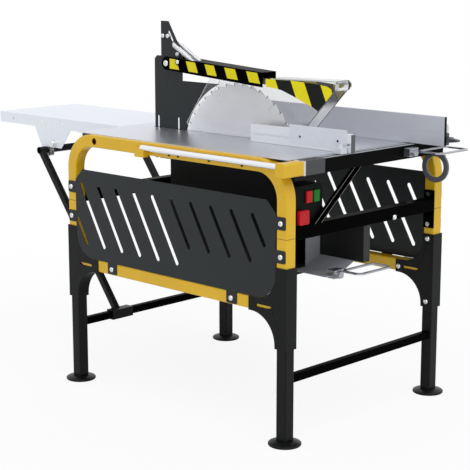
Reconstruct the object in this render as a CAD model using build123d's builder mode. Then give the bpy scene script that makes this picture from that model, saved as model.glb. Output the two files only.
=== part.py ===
"""Construction table saw on a bent tube frame. Millimetres, +Z up, boards are fed along +Y."""
import math
import os

from build123d import *

os.makedirs("parts", exist_ok=True)

# Clearances
RUN_GAP = 0.05
SIDE_GAP = 0.3
PLUG_GAP = 0.2

# Frame of bent square tube
TABLE_HEIGHT = 850.0
TABLE_SHEET = 2.0
FRAME_LENGTH = 980.0
FRAME_WIDTH = 746.0
RING_HEIGHT = 452.0
RING_BEND = 118.0
TUBE = 40.0
TUBE_WALL = 2.5
TUBE_EDGE = 4.0
LIFT_HOLE_R = 11.0
LIFT_HOLE_FROM_END = 137.0
COS_45 = math.cos(math.radians(45))
RING_TOP = TABLE_HEIGHT - TABLE_SHEET
RING_BOTTOM = RING_TOP - RING_HEIGHT
RING_MID = (RING_TOP + RING_BOTTOM) / 2
RING_X = (FRAME_WIDTH - TUBE) / 2
FACE_X = FRAME_WIDTH / 2
INNER_X = FACE_X - TUBE
END_Y = FRAME_LENGTH / 2
POST_Y = END_Y - TUBE / 2
BEND_Y = END_Y - RING_BEND
BEND_LOW_Z = RING_BOTTOM + RING_BEND
BEND_HIGH_Z = RING_TOP - RING_BEND

# Legs and feet
BRACKET_SHEET = 3.0
BRACKET_RISE = 141.0
BRACKET_REACH = 148.0
GUSSET_R = 93.0
GUSSET_FOOT = 7.0
LEG = 38.0
LEG_WALL = 3.0
LEG_INSET = 19.0
FOOT_R = 50.0
FOOT_EDGE = 8.0
FOOT_ROUND = 2.0
FOOT_HUB_R = 30.0
FOOT_HEIGHT = 14.0
FOOT_PLUG = 30.0
WINDOW_LENGTH = 60.0
WINDOW_HEIGHT = 8.0
WINDOW_FROM_END = 86.0
WINDOW_RISE = 17.0
SLEEVE = TUBE + 2 * BRACKET_SHEET
GUSSET_Y = END_Y - TUBE - GUSSET_R - BRACKET_SHEET
GUSSET_Z = RING_BOTTOM - BRACKET_SHEET - GUSSET_R
SLEEVE_END = GUSSET_Z - GUSSET_FOOT
LEG_TOP = RING_BOTTOM + LEG_INSET
LEG_SPACE = RING_X - LEG / 2
BRACKET_TOP = RING_BOTTOM + BRACKET_RISE
BRACKET_END = END_Y - BRACKET_REACH

# Button head bolts of the frame
BOLT_R = 4.0
BOLT_HEAD_R = 8.5
BOLT_HEAD = 6.0
BOLT_REACH = 10.0
DOME_SHARE = 0.65
SOCKET_SHARE = 0.46
NUT_R = 8.0
NUT = 6.5
LEG_BOLT_RISE = 19.0
BRACKET_BOLT_DROP = 16.0
WINDOW_BOLT_GAP = 18.0
LEG_BOLT_Z = SLEEVE_END + LEG_BOLT_RISE
BRACKET_BOLT_Z = BRACKET_TOP - BRACKET_BOLT_DROP
WINDOW_Y = END_Y - WINDOW_FROM_END
WINDOW_Z = RING_BOTTOM + WINDOW_RISE
WINDOW_BOLT_Y = WINDOW_Y - WINDOW_LENGTH / 2 - WINDOW_BOLT_GAP

# Cross members
BAR = 25.0
BAR_WALL = 2.0
BAR_DROP = 94.0
MID_BEAM_DROP = 194.0
BEAM_PLATE = 3.0
BEAM_PLATE_HEIGHT = 124.0
BEAM_BOLT_INSET = 210.0
BEAM_BOLT_DROP = 11.0
BRACE_FOOT_OFFSET = 97.0
BRACE_RUN = 184.0
BRACE_WIDTH = 34.0
BRACE_DEPTH = 12.0
BRACE_LIP = 5.0
BRACE_SHEET = 2.0
BAR_Z = SLEEVE_END - BAR_DROP
MID_BEAM_TOP = RING_TOP - MID_BEAM_DROP
MID_BEAM_Z = MID_BEAM_TOP - TUBE / 2
BEAM_BOLT_X = INNER_X - BEAM_BOLT_INSET
BEAM_BOLT_Z = MID_BEAM_Z - BEAM_BOLT_DROP
BRACE_FOOT_X = -INNER_X + BRACE_FOOT_OFFSET
BRACE_HEAD_X = BRACE_FOOT_X + BRACE_RUN

# Table top
TABLE_EDGE = 17.0
TABLE_SETBACK = 10.0
TABLE_REAR_GAP = 28.0
TABLE_FLANGE = 30.0
TABLE_CORNER = 6.0
BLADE_SLOT = 12.0
BLADE_SLOT_ROUND = 5.0
BLADE_SLOT_ENDS = (5.0, 9.0)
FLANGE_GAP = 1.0
TABLE_HALF = FACE_X - TABLE_EDGE
TABLE_FRONT = -END_Y + TABLE_SETBACK
TABLE_REAR = END_Y - TABLE_REAR_GAP

# Front rail, from the left end: corner stub, pale strip, end block, slotted rail
RAIL_DEPTH = 38.0
RAIL_HEIGHT = 42.0
STUB_LENGTH = 82.0
STRIP_LENGTH = 8.0
END_BLOCK_LENGTH = 84.0
RAIL_WALL = 3.0
STUB_WALL = 3.0
STUB_EDGE = 7.0
STUB_END_EDGE = 3.5
STUB_WEB = 6.0
STUB_WEB_EDGE = 8.0
NECK_WIDTH = 8.0
NECK_DEPTH = 5.0
HEAD_WIDTH = 16.0
HEAD_DEPTH = 8.0
NUT_TOP_GAP = 0.4
NECK_GAP = 0.2
RAIL_FRONT = TABLE_FRONT - RAIL_DEPTH
RAIL_BOTTOM = RING_TOP - RAIL_HEIGHT
RAIL_MID_Z = RING_TOP - RAIL_HEIGHT / 2
SLOT_Y = TABLE_FRONT - RAIL_DEPTH / 2
STUB_LEFT = -INNER_X - STUB_LENGTH
RAIL_LEFT = -INNER_X + STRIP_LENGTH + END_BLOCK_LENGTH
RAIL_RIGHT = INNER_X

# Bright slide rail on the left ring
SLIDE_R = 9.0
SLIDE_LENGTH = 592.0
SLIDE_STANDOFF = 2.0
SLIDE_DROP = 16.0
SLIDE_NUT_R = 13.0
SLIDE_NUT_LENGTH = 14.0
SLIDE_CHAMFER = 1.5
LUG_LENGTH = 42.0
LUG_HEIGHT = 20.0
LUG_GRIP = 19.0
LUG_CHAMFER = 4.0
SLIDE_X = -FACE_X - SLIDE_STANDOFF - SLIDE_R
SLIDE_Z = RING_TOP - SLIDE_DROP
SLIDE_REAR = TABLE_FRONT + SLIDE_LENGTH
LUG_FRONT = SLIDE_REAR - LUG_GRIP

# Side panels
PANEL_SHEET = 2.0
PANEL_GAP = 1.0
PANEL_DROP = 117.0
PANEL_CUT = 36.0
TAB_HEIGHT = 38.0
TAB_EDGE = 6.0
TAB_SHARES = (0.675, 0.17)
FOOT_TAB_GAP = 70.5
FOOT_TAB_WIDTH = 44.0
SLOT_WIDTH = 14.0
SLOT_LEAN = 29.6
SLOT_DROP = 163.0
FIRST_SLOT_INSET = 25.5
LAST_SLOT_INSET = 95.8
FULL_SLOTS = 10
LEFT_LONG_SLOTS = 5
LONG_SLOT_RISE = 83.0
SHORT_SLOT_RISE = 141.0
LAST_SLOT_RISE = 194.0
END_SLOT_DROP = 281.0
END_SLOT_INSET = 6.2
END_SLOT_LIFT = 2.0
PANEL_HALF = END_Y - TUBE - PANEL_GAP
PANEL_TOP = RING_TOP - PANEL_DROP
TAB_Z = [BRACKET_TOP + share * (PANEL_TOP - BRACKET_TOP) for share in TAB_SHARES]
BEAM_PLATE_Z = sum(TAB_Z) / len(TAB_Z)
BEAM_PLATE_TOP = BEAM_PLATE_Z + BEAM_PLATE_HEIGHT / 2
FOOT_TAB_Y = BRACKET_END - FOOT_TAB_GAP
SLOT_TOP = RING_TOP - SLOT_DROP
FIRST_SLOT_Y = PANEL_HALF - FIRST_SLOT_INSET
SLOT_PITCH = (2 * PANEL_HALF - FIRST_SLOT_INSET - LAST_SLOT_INSET) / (FULL_SLOTS - 1)
END_SLOT_TOP = RING_TOP - END_SLOT_DROP
LONG_SLOT_END = RING_BOTTOM + LONG_SLOT_RISE
SHORT_SLOT_END = RING_BOTTOM + SHORT_SLOT_RISE
LAST_SLOT_END = RING_BOTTOM + LAST_SLOT_RISE

# Saw blade and its turning set
BLADE_R = 250.0
BLADE_X = -80.0
BLADE_Y = -20.0
ARBOR_DROP = 78.0
BLADE_BODY = 3.2
TEETH = 42
TOOTH_DEPTH = 9.0
TOOTH_SHAPE = ((0.0, 0.0), (0.16, 1.0), (0.42, 0.75))
RELIEF_SLOTS = 6
RELIEF_LENGTH = 34.0
RELIEF_WIDTH = 1.6
RELIEF_HOLE_R = 3.5
RELIEF_ANGLE = 7.0
ARBOR_R = 15.0
REAR_SHAFT_R = 10.0
ARBOR_CHAMFER = 1.5
FLANGE_R = 45.0
FLANGE_THICK = 12.0
HUB_R = 25.0
HUB_LENGTH = 14.0
ARBOR_NUT_R = 26.0
ARBOR_NUT_LENGTH = 14.0
ARBOR_TIP = 3.0
ARBOR_Z = TABLE_HEIGHT - ARBOR_DROP
BLADE_TOP = ARBOR_Z + BLADE_R
BLADE_FRONT = BLADE_Y - BLADE_R
BLADE_REAR = BLADE_Y + BLADE_R
BLADE_LEFT = BLADE_X - BLADE_BODY / 2
BLADE_RIGHT = BLADE_X + BLADE_BODY / 2

# Blade casing and chip chute
CASE_SHEET = 2.0
CASE_LEFT_SPACE = 60.0
CASE_RIGHT_SPACE = 34.0
CASE_FRONT_SPACE = 40.0
CASE_REAR_SPACE = 10.0
CASE_FOOT_SPACE = 42.0
CASE_HOLE_R = 50.0
CASE_BEND = 6.0
OUTLET_EDGE = 4.0
OUTLET_WIDTH = 46.0
OUTLET_HEIGHT = 118.0
CHUTE_SHEET = 2.0
CHUTE_OUT = 12.0
CHUTE_FLAT = 65.0
CHUTE_RISE_RUN = 70.0
CHUTE_LIFT = 30.0
CHUTE_DROP = 10.0
CHUTE_FLANGE = 28.0
CHUTE_LIP = 4.0
CASE_LEFT = BLADE_X - CASE_LEFT_SPACE
CASE_RIGHT = BLADE_X + CASE_RIGHT_SPACE
CASE_FRONT = BLADE_FRONT - CASE_FRONT_SPACE
CASE_REAR = BLADE_REAR + CASE_REAR_SPACE
CASE_BOTTOM = ARBOR_Z - BLADE_R - CASE_FOOT_SPACE
CASE_PLATE_X = CASE_RIGHT + CASE_SHEET
OUTLET_LEFT = CASE_LEFT + OUTLET_EDGE
OUTLET_RIGHT = OUTLET_LEFT + OUTLET_WIDTH
OUTLET_TOP = CASE_BOTTOM + CASE_SHEET + OUTLET_HEIGHT
CHUTE_LEFT = CASE_LEFT - CHUTE_OUT
CHUTE_STEP_X = CHUTE_LEFT + CHUTE_FLAT
CHUTE_RIGHT = CHUTE_STEP_X + CHUTE_RISE_RUN
CHUTE_FLOOR = CASE_BOTTOM - CHUTE_DROP
CHUTE_FRONT = -END_Y + TUBE
CHUTE_WALL_FRONT = -END_Y + CHUTE_LIP

# Saw motor under the table
PLATE = 8.0
PLATE_WIDTH = 260.0
PLATE_DROP = 72.0
PLATE_FLANGE = 60.0
PLATE_TOP_SHEET = 6.0
PLATE_HOLE_R = 36.0
MOTOR_WIDTH = 230.0
MOTOR_HEIGHT = 124.0
MOTOR_EDGE = 46.0
MOTOR_LENGTH = 226.0
MOTOR_WALL = 6.0
STATOR_R = 49.0
STATOR_LENGTH = 160.0
STATOR_GAP = 4.0
ROTOR_R = 46.0
ROTOR_LENGTH = 130.0
FIN_GROOVE = 5.0
FIN_PITCH = 13.0
FIN_COUNT = 5
FIN_END = 12.0
FIN_DEPTH = 31.0
FRONT_BEARING_R = 31.0
FRONT_BEARING = 16.0
REAR_BEARING_R = 23.5
REAR_BEARING = 14.0
SHAFT_CLEAR = 1.0
FAN_R = 52.0
FAN_HUB_R = 18.0
FAN_THICK = 14.0
FAN_DISC = 3.0
FAN_VANES = 9
FAN_GAP = 6.0
COVER_R = 60.0
COVER_DEPTH = 42.0
COVER_WALL = 2.0
GRILLE_HOLE_R = 4.0
GRILLE_ROWS = ((21.0, 8), (42.0, 16))
TERMINAL_LENGTH = 80.0
TERMINAL_DEPTH = 24.0
MOTOR_X = CASE_PLATE_X + PLATE
MOTOR_END = MOTOR_X + MOTOR_LENGTH
STATOR_X = MOTOR_X + MOTOR_WALL + FRONT_BEARING + STATOR_GAP
STATOR_END = STATOR_X + STATOR_LENGTH
FAN_X = MOTOR_END + FAN_GAP

# Riving knife plate with the spring post
KNIFE = 4.0
KNIFE_GAP = 6.0
KNIFE_BEHIND = 146.0
KNIFE_RISE = 69.0
KNIFE_CORNER = 11.0
KNIFE_DROP = 105.0
KNIFE_FOOT_GAP = 20.0
KNIFE_TIP = 88.0
KNIFE_STEP = 13.0
POST_RISE = 115.0
POST_INSET = 32.5
POST_WIDTH = 34.5
KNIFE_SLOT = 10.0
KNIFE_SLOT_INSETS = (12.0, 16.0)
KNIFE_SLOT_RISE = 40.0
KNIFE_BOLT_DROP = 35.0
KNIFE_BOLT_R = 4.5
CLAMP_THICK = 20.0
CLAMP_DROP = 65.0
ADJUST_BOLT_R = 4.0
ADJUST_HEAD_R = 7.5
ADJUST_HEAD = 6.0
ADJUST_DROP = 49.0
ADJUST_INSET = 12.0
STEP_BOLT_INSET = 19.5
STEP_BOLT_RISE = 8.0
POST_SLOT_WIDTH = 9.0
POST_SLOT_LENGTH = 40.0
POST_SLOT_ANGLE = 58.0
POST_SLOT_SHIFT = 12.0
KNIFE_LEFT = BLADE_X - KNIFE / 2
KNIFE_RIGHT = BLADE_X + KNIFE / 2
KNIFE_REAR = BLADE_REAR + KNIFE_BEHIND
KNIFE_TOP = BLADE_TOP + KNIFE_RISE
BLADE_SLOT_FRONT = BLADE_FRONT - BLADE_SLOT_ENDS[0]
BLADE_SLOT_REAR = KNIFE_REAR + BLADE_SLOT_ENDS[1]
KNIFE_FOOT = TABLE_HEIGHT - KNIFE_DROP
KNIFE_FOOT_FRONT = BLADE_REAR + KNIFE_FOOT_GAP
KNIFE_TIP_Y = BLADE_Y + KNIFE_TIP
KNIFE_STEP_Y = BLADE_REAR + KNIFE_STEP
KNIFE_SLOT_Y = (KNIFE_FOOT_FRONT + KNIFE_SLOT_INSETS[0], KNIFE_REAR - KNIFE_SLOT_INSETS[1])
KNIFE_SLOT_TOP = TABLE_HEIGHT + KNIFE_SLOT_RISE
KNIFE_BOLT_Z = TABLE_HEIGHT - KNIFE_BOLT_DROP
POST_REAR = KNIFE_REAR - POST_INSET
POST_TOP = KNIFE_TOP + POST_RISE
POST_TOP_FRONT = POST_REAR - POST_WIDTH
ADJUST_Z = POST_TOP - ADJUST_DROP
POST_SLOT_AT = (POST_TOP_FRONT - POST_SLOT_SHIFT, ADJUST_Z)
ADJUST_BOLTS = ((POST_TOP_FRONT, ADJUST_Z), (POST_REAR - ADJUST_INSET, ADJUST_Z),
                (KNIFE_STEP_Y + STEP_BOLT_INSET, KNIFE_TOP + STEP_BOLT_RISE))

# Guard arm and clear hood
PIVOT_BEHIND = 56.0
PIVOT_RISE = 48.0
PIVOT_R = 5.0
PIVOT_SPACER_R = 10.0
PIVOT_HEAD_R = 10.0
PIVOT_HEAD = 6.0
ARM_WIDTH = 64.0
ARM_SHEET = 3.0
ARM_END_R = 22.0
ARM_LENGTH = 433.0
ARM_DROP = 28.0
ARM_TAPER = 2.2
ARM_WEB_GAP = 130.0
ARM_BOLT_AT = (-58.5, 7.0)
HOOD_WALL = 4.0
HOOD_LIFT = 10.0
HOOD_REACH = 170.0
HOOD_NOSE_R = 15.0
HOOD_NOSE_RISE = 33.0
HOOD_REAR_RISE = 20.0
HOOD_REAR_DROP = 16.0
HOOD_REAR_SETBACK = 140.0
HOOD_HEEL_SETBACKS = (55.0, 36.0)
HOOD_HEEL_RISE = 22.0
HOOD_TOE = 12.0
ARM_LEFT = BLADE_X - ARM_WIDTH / 2
PIVOT_Y = BLADE_REAR + PIVOT_BEHIND
PIVOT_Z = BLADE_TOP + PIVOT_RISE
ARM_FRONT = PIVOT_Y - ARM_LENGTH
ARM_WEB_REAR = PIVOT_Y - ARM_WEB_GAP
ARM_BOLT_Y = PIVOT_Y + ARM_BOLT_AT[0]
ARM_BOLT_Z = PIVOT_Z + ARM_BOLT_AT[1]
HOOD_BOTTOM = TABLE_HEIGHT + HOOD_LIFT
HOOD_NOSE = BLADE_FRONT - HOOD_REACH
HOOD_TOP_NOSE = BLADE_TOP + HOOD_NOSE_RISE
HOOD_TOP_REAR = BLADE_TOP + HOOD_REAR_RISE
HOOD_REAR = (BLADE_REAR - HOOD_REAR_SETBACK, HOOD_TOP_REAR - HOOD_REAR_DROP)
HOOD_HEEL = [BLADE_REAR - setback for setback in HOOD_HEEL_SETBACKS]
HOOD_TOE_Y = BLADE_FRONT - HOOD_TOE

# Tension springs beside the post
SPRING_TOP_AT = (-14.0, 62.0)
SPRING_FOOT_AT = (-121.0, 2.0)
SPRING_OFFSET = 15.5
SPRING_R = 5.8
SPRING_WIRE = 3.2
SPRING_TURNS = 24
SPRING_PIN_R = 4.0
SPRING_PIN_GAP = 0.4
SPRING_PIN_PROUD = 1.5
SPRING_PIN_EDGE = 6.0
HOOK_GAP = 0.1
HOOK_SWEEP = 270
ARM_LUG = 14.0
HOOK_R = SPRING_PIN_R + HOOK_GAP + SPRING_WIRE / 2
HOOK_OFFSET = SPRING_OFFSET - SPRING_R
SPRING_TOP = (PIVOT_Y + SPRING_TOP_AT[0], PIVOT_Z + SPRING_TOP_AT[1])
SPRING_FOOT = (PIVOT_Y + SPRING_FOOT_AT[0], PIVOT_Z + SPRING_FOOT_AT[1])

# Rip fence on the slotted rail
RIP_FROM_BLADE = 262.0
RIP_THICK = 10.0
RIP_HEIGHT = 89.5
RIP_OVERHANG = 110.0
RIP_LENGTH = 720.0
RIP_WALL = 2.0
TABLE_GAP = 0.5
RIP_BRACKET_WIDTH = 28.0
RIP_BRACKET_HEIGHT = 37.5
RIP_BRACKET_SETBACK = 8.5
RIP_NUT_LENGTH = 24.0
RIP_EAR = 5.5
RIP_BRACKET_EDGE = 3.0
LEVER_HUB_R = 8.0
LEVER_RISE = 17.5
LEVER_LENGTH = 36.0
LEVER_TIP_R = 3.0
LEVER_PIN_R = 3.0
KNOB_R = 12.0
KNOB_HEIGHT = 27.0
KNOB_ROUND = 4.0
KNOB_STEM_R = 4.0
KNOB_STEM = 12.0
KNOB_SETBACK = 16.0
RIP_STUD_R = NECK_WIDTH / 2 - NECK_GAP
RIP_X = BLADE_X + RIP_FROM_BLADE
RIP_RIGHT = RIP_X + RIP_THICK
RIP_FOOT = TABLE_HEIGHT + TABLE_GAP
RIP_FRONT = RAIL_FRONT - RIP_OVERHANG
RIP_REAR = RIP_FRONT + RIP_LENGTH
RIP_BRACKET_TOP = RIP_FOOT + RIP_BRACKET_HEIGHT
RIP_BRACKET_FRONT = RIP_FRONT + RIP_BRACKET_SETBACK
RIP_STUD_X = RIP_RIGHT + RIP_BRACKET_WIDTH / 2
LEVER_Y = RIP_FRONT
LEVER_Z = RIP_FOOT + LEVER_RISE
LEVER_TIP = LEVER_Y - LEVER_LENGTH
LEVER_WIDTH = RIP_BRACKET_WIDTH - 2 * RIP_EAR - 2 * SIDE_GAP
RIP_EAR_FRONT = LEVER_Y - LEVER_HUB_R
KNOB_Y = RIP_FRONT + KNOB_SETBACK

# Low fence left of the blade
LOW_FROM_BLADE = 56.0
LOW_THICK = 18.0
LOW_HEIGHT = 55.0
LOW_OVERHANG = 8.0
LOW_LENGTH = 405.0
LOW_WALL = 2.0
LOW_GROOVE = 6.0
LOW_GROOVE_DEPTH = 4.5
LOW_GROOVE_RISE = 25.0
LOW_PLATE = 2.0
LOW_PLATE_SETBACK = 15.0
LOW_PLATE_LENGTH = 226.0
LOW_PLATE_RISE = 9.5
LOW_PLATE_HEIGHT = 58.0
LOW_SCREW_INSETS = (32.0, 46.0)
LOW_SCREW_RISE = 24.0
LOW_SCREW_R = 5.0
LOW_SCREW_HEAD = 3.0
LOW_CLAMP_WIDTH = 28.0
LOW_CLAMP_LENGTH = 30.0
LOW_CLAMP_HEIGHT = 17.5
LOW_GRIP_R = 8.0
LOW_GRIP = 9.0
LOW_X = BLADE_X - LOW_FROM_BLADE
LOW_FRONT = RAIL_FRONT - LOW_OVERHANG
LOW_PLATE_FRONT = LOW_FRONT + LOW_PLATE_SETBACK
LOW_PLATE_REAR = LOW_PLATE_FRONT + LOW_PLATE_LENGTH
LOW_PLATE_BOTTOM = RIP_FOOT + LOW_PLATE_RISE
LOW_SCREWS_Y = (LOW_PLATE_FRONT + LOW_SCREW_INSETS[0], LOW_PLATE_REAR - LOW_SCREW_INSETS[1])
LOW_SCREW_Z = LOW_PLATE_BOTTOM + LOW_SCREW_RISE
LOW_CLAMP_TOP = RIP_FOOT + LOW_CLAMP_HEIGHT

# Switch on the mid beam
SWITCH_GAP = 3.0
SWITCH_SETBACK = 12.0
SWITCH_WIDTH = 125.0
SWITCH_DEPTH = 70.0
SWITCH_HEIGHT = 114.0
SWITCH_WALL = 3.0
SWITCH_EDGE = 6.0
GREEN_INSET = 95.0
RED_INSET = 63.0
BUTTON_WIDTH = 25.0
BUTTON_HEIGHT = 35.0
BUTTON_RISE = 80.0
BUTTON_PROUD = 6.0
BUTTON_EDGE = 2.0
BUTTON_GAP = 0.5
BUTTON_LIP = 2.0
BUTTON_LIP_THICK = 3.0
FLAP_INSET = 28.0
FLAP_RISE = 24.0
FLAP_WIDTH = 42.0
FLAP_HEIGHT = 42.0
FLAP_THICK = 12.0
FLAP_PROUD = 18.0
FLAP_STEM = 22.0
FLAP_EDGE = 5.0
FLAP_ROUND = 2.5
INLET_INSET = 68.0
INLET_RISE = 46.0
INLET_R = 24.0
INLET_DEPTH = 34.0
INLET_LID = 4.0
INLET_BORE_R = 19.0
INLET_PIN_R = 2.5
INLET_PIN = 24.0
INLET_PIN_RING = 9.5
SWITCH_LEFT = -INNER_X + SWITCH_GAP
SWITCH_RIGHT = SWITCH_LEFT + SWITCH_WIDTH
SWITCH_FRONT = -END_Y + SWITCH_SETBACK
SWITCH_BACK = SWITCH_FRONT + SWITCH_DEPTH
SWITCH_FOOT = MID_BEAM_TOP
SWITCH_TOP = SWITCH_FOOT + SWITCH_HEIGHT
GREEN_X = SWITCH_LEFT + GREEN_INSET
RED_X = SWITCH_LEFT + RED_INSET
FLAP_X = SWITCH_LEFT + FLAP_INSET
INLET_X = SWITCH_LEFT + INLET_INSET
BUTTON_Z = SWITCH_FOOT + BUTTON_RISE
FLAP_Z = SWITCH_FOOT + FLAP_RISE
INLET_Z = SWITCH_FOOT + INLET_RISE

# Hoops, knobs and the eye plate
HOOP_LENGTH = 160.0
HOOP_BAR = 10.0
HOOP_THICK = 5.0
HOOP_CORNER = 24.0
UPPER_HOOP_DEPTH = 100.0
UPPER_HOOP_INSET = 168.0
UPPER_HOOP_DROP = 22.5
LOWER_HOOP_DEPTH = 80.0
LOWER_HOOP_GAP = 6.0
LOWER_HOOP_INSET = 57.0
LOWER_HOOP_RISE = 9.0
CLAMP_BLOCK_LENGTH = 44.0
CLAMP_BLOCK_HEIGHT = 26.0
CLAMP_BLOCK_DEPTH = 22.0
CLAMP_BLOCK_EDGE = 2.0
LOWER_BLOCK_GRIP = 11.0
LOWER_BLOCK_RISE = 6.5
HOOP_OVERLAP = 7.0
HOOP_KNOB_R = 12.0
HOOP_KNOB = 14.0
HOOP_KNOB_LOBES = 6
HOOP_KNOB_LOBE_R = 4.0
HOOP_STEM_R = 4.0
HOOP_STEM = 10.0
EYE_INSET = 43.0
EYE_THICK = 8.0
EYE_R = 50.0
EYE_HOLE_R = 33.0
EYE_FORWARD = 3.0
EYE_DROP = 40.0
EYE_TAB = 72.0
UPPER_HOOP_LEFT = INNER_X - UPPER_HOOP_INSET
UPPER_HOOP_Z = RING_TOP - UPPER_HOOP_DROP
LOWER_HOOP_LEFT = CHUTE_LEFT + LOWER_HOOP_INSET
LOWER_HOOP_Z = CHUTE_FLOOR + LOWER_HOOP_RISE
LOWER_HOOP_REAR = CHUTE_FRONT - LOWER_HOOP_GAP
EYE_X = INNER_X - EYE_INSET
EYE_Y = RAIL_FRONT - EYE_FORWARD
EYE_Z = RAIL_BOTTOM - EYE_DROP

# Outfeed extension
EXT_OFFSET = 85.0
EXT_WIDTH = 361.0
EXT_LENGTH = 681.0
EXT_SKIRT = 38.0
EXT_SHEET = 2.0
EXT_CORNER = 4.0
EXT_HOLES = (316.0, 433.0, 598.0)
EXT_HOLE_R = 4.0
EAR_TOP = (268.0, 472.0)
EAR_FOOT = (322.0, 434.0)
EAR_DROP = 107.0
CROSS_R = 12.5
CROSS_WALL = 2.0
CROSS_BEHIND = 413.0
CROSS_END = 12.0
GRIP_DEPTH = 20.0
GRIP_LENGTH = 46.0
GRIP_HEIGHT = 42.0
GRIP_LIP = 6.0
GRIP_KNOB_R = 13.0
GRIP_KNOB = 18.0
GRIP_KNOB_ROUND = 3.0
GRIP_EDGE = 5.0
GRIP_KNOB_AT = (360.0, 15.0)
STRUT = 20.0
STRUT_WALL = 2.0
STRUT_OFFSETS = (17.0, 82.0)
STRUT_SLEEVE = 33.0
SLEEVE_REACH = ((37.0, 55.0), (37.0, 37.0))
EXT_LEFT = BLADE_X - EXT_OFFSET
EXT_RIGHT = EXT_LEFT + EXT_WIDTH
EXT_REAR = TABLE_REAR + EXT_LENGTH
EXT_FOOT = TABLE_HEIGHT - EXT_SKIRT
EAR_FOOT_Z = TABLE_HEIGHT - EAR_DROP
CROSS_Y = TABLE_REAR + CROSS_BEHIND
CROSS_Z = EAR_FOOT_Z - CROSS_R
STRUT_X = (EXT_LEFT - STRUT_OFFSETS[0], EXT_RIGHT + STRUT_OFFSETS[1])
CROSS_ENDS = (STRUT_X[0] - CROSS_END, STRUT_X[1] + CROSS_END)
GRIP_KNOB_Y = TABLE_REAR + GRIP_KNOB_AT[0]
GRIP_KNOB_Z = EAR_FOOT_Z + GRIP_KNOB_AT[1]

# Shared frame: the middle of the bounding box on the floor
ORIGIN_X = (min(STUB_LEFT, -RING_X - FOOT_R) + RING_X + FOOT_R) / 2
ORIGIN_Y = (LEVER_TIP + EXT_REAR) / 2


def keep(builder, name):
    """Move a finished piece into the shared frame, name it and write its STEP file."""
    piece = builder.part.moved(Location((-ORIGIN_X, -ORIGIN_Y, 0)))
    piece.label = name
    export_step(piece, f"parts/{name}.step")


def block(x_range, y_range, z_range, mode=Mode.ADD):
    """Add a box between two limits on each axis to the open part."""
    middle = [(low + high) / 2 for low, high in (x_range, y_range, z_range)]
    with Locations(tuple(middle)):
        Box(x_range[1] - x_range[0], y_range[1] - y_range[0], z_range[1] - z_range[0], mode=mode)


def rod(x_range, y, z, radius, mode=Mode.ADD):
    """Add a round bar along X to the open part."""
    with Locations(((x_range[0] + x_range[1]) / 2, y, z)):
        Cylinder(radius, abs(x_range[1] - x_range[0]), rotation=(0, 90, 0), mode=mode)


def rod_y(y_range, x, z, radius, mode=Mode.ADD):
    """Add a round bar along Y to the open part."""
    with Locations((x, (y_range[0] + y_range[1]) / 2, z)):
        Cylinder(radius, abs(y_range[1] - y_range[0]), rotation=(90, 0, 0), mode=mode)


def rod_z(z_range, x, y, radius, mode=Mode.ADD):
    """Add an upright round bar to the open part."""
    with Locations((x, y, (z_range[0] + z_range[1]) / 2)):
        Cylinder(radius, abs(z_range[1] - z_range[0]), mode=mode)


def cross_tube(x_range, y, z, side, wall):
    """A square tube along X."""
    with BuildPart() as tube:
        with BuildSketch(Plane.YZ.offset(x_range[0])):
            with Locations((y, z)):
                RectangleRounded(side, side, 2 * wall)
                Rectangle(side - 2 * wall, side - 2 * wall, mode=Mode.SUBTRACT)
        extrude(amount=x_range[1] - x_range[0])
    return tube


# Bolts through the walls of the rings, as places along Y and Z
SIDES = {"left": -1, "right": 1}
ENDS = {"front": -1, "rear": 1}
PANEL_BOLTS = [(end * POST_Y, z) for end in ENDS.values() for z in TAB_Z]
PANEL_BOLTS += [(end * FOOT_TAB_Y, RING_BOTTOM + TUBE / 2) for end in ENDS.values()]


def bracket_bolts(end):
    """Places of the two bolts that hold a leg bracket to the ring's inner face."""
    return [(end * POST_Y, BRACKET_BOLT_Z), (end * WINDOW_BOLT_Y, WINDOW_Z)]


def beam_bolts(side, end):
    """Panel bolts that reach through to a mid beam's end plate, not where the switch box stands."""
    return [(end * POST_Y, z) for z in TAB_Z if z < MID_BEAM_TOP or (side, end) != (-1, -1)]


# Rings
def make_ring(side):
    """One closed ring of bent square tube, standing lengthwise on one side."""
    with BuildPart() as ring:
        with BuildSketch(Plane.YZ.offset(side * RING_X - TUBE / 2)):
            with Locations((0, RING_MID)):
                RectangleRounded(FRAME_LENGTH, RING_HEIGHT, RING_BEND)
                RectangleRounded(FRAME_LENGTH - 2 * TUBE, RING_HEIGHT - 2 * TUBE, RING_BEND - TUBE,
                                 mode=Mode.SUBTRACT)
        extrude(amount=TUBE)
        fillet(ring.faces().filter_by(Axis.X).edges(), TUBE_EDGE)
        inner = TUBE - TUBE_WALL
        with BuildSketch(Plane.YZ.offset(side * RING_X - TUBE / 2 + TUBE_WALL)):
            with Locations((0, RING_MID)):
                RectangleRounded(FRAME_LENGTH - 2 * TUBE_WALL, RING_HEIGHT - 2 * TUBE_WALL,
                                 RING_BEND - TUBE_WALL)
                RectangleRounded(FRAME_LENGTH - 2 * inner, RING_HEIGHT - 2 * inner, RING_BEND - inner,
                                 mode=Mode.SUBTRACT)
        extrude(amount=TUBE - 2 * TUBE_WALL, mode=Mode.SUBTRACT)
        with BuildSketch(Plane.YZ.offset(side * FACE_X)):
            with Locations(*PANEL_BOLTS):
                Circle(BOLT_R + RUN_GAP)
            with Locations((END_Y - LIFT_HOLE_FROM_END, RING_TOP - TUBE / 2)):
                Circle(LIFT_HOLE_R)
        extrude(amount=-side * 2 * TUBE_WALL, mode=Mode.SUBTRACT)
        with BuildSketch(Plane.YZ.offset(side * INNER_X)):
            for end in ENDS.values():
                with Locations(*bracket_bolts(end), *beam_bolts(side, end)):
                    Circle(BOLT_R + RUN_GAP)
        extrude(amount=side * 2 * TUBE_WALL, mode=Mode.SUBTRACT)
    return ring


for side_name, side in SIDES.items():
    keep(make_ring(side), f"{side_name}_ring")


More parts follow.
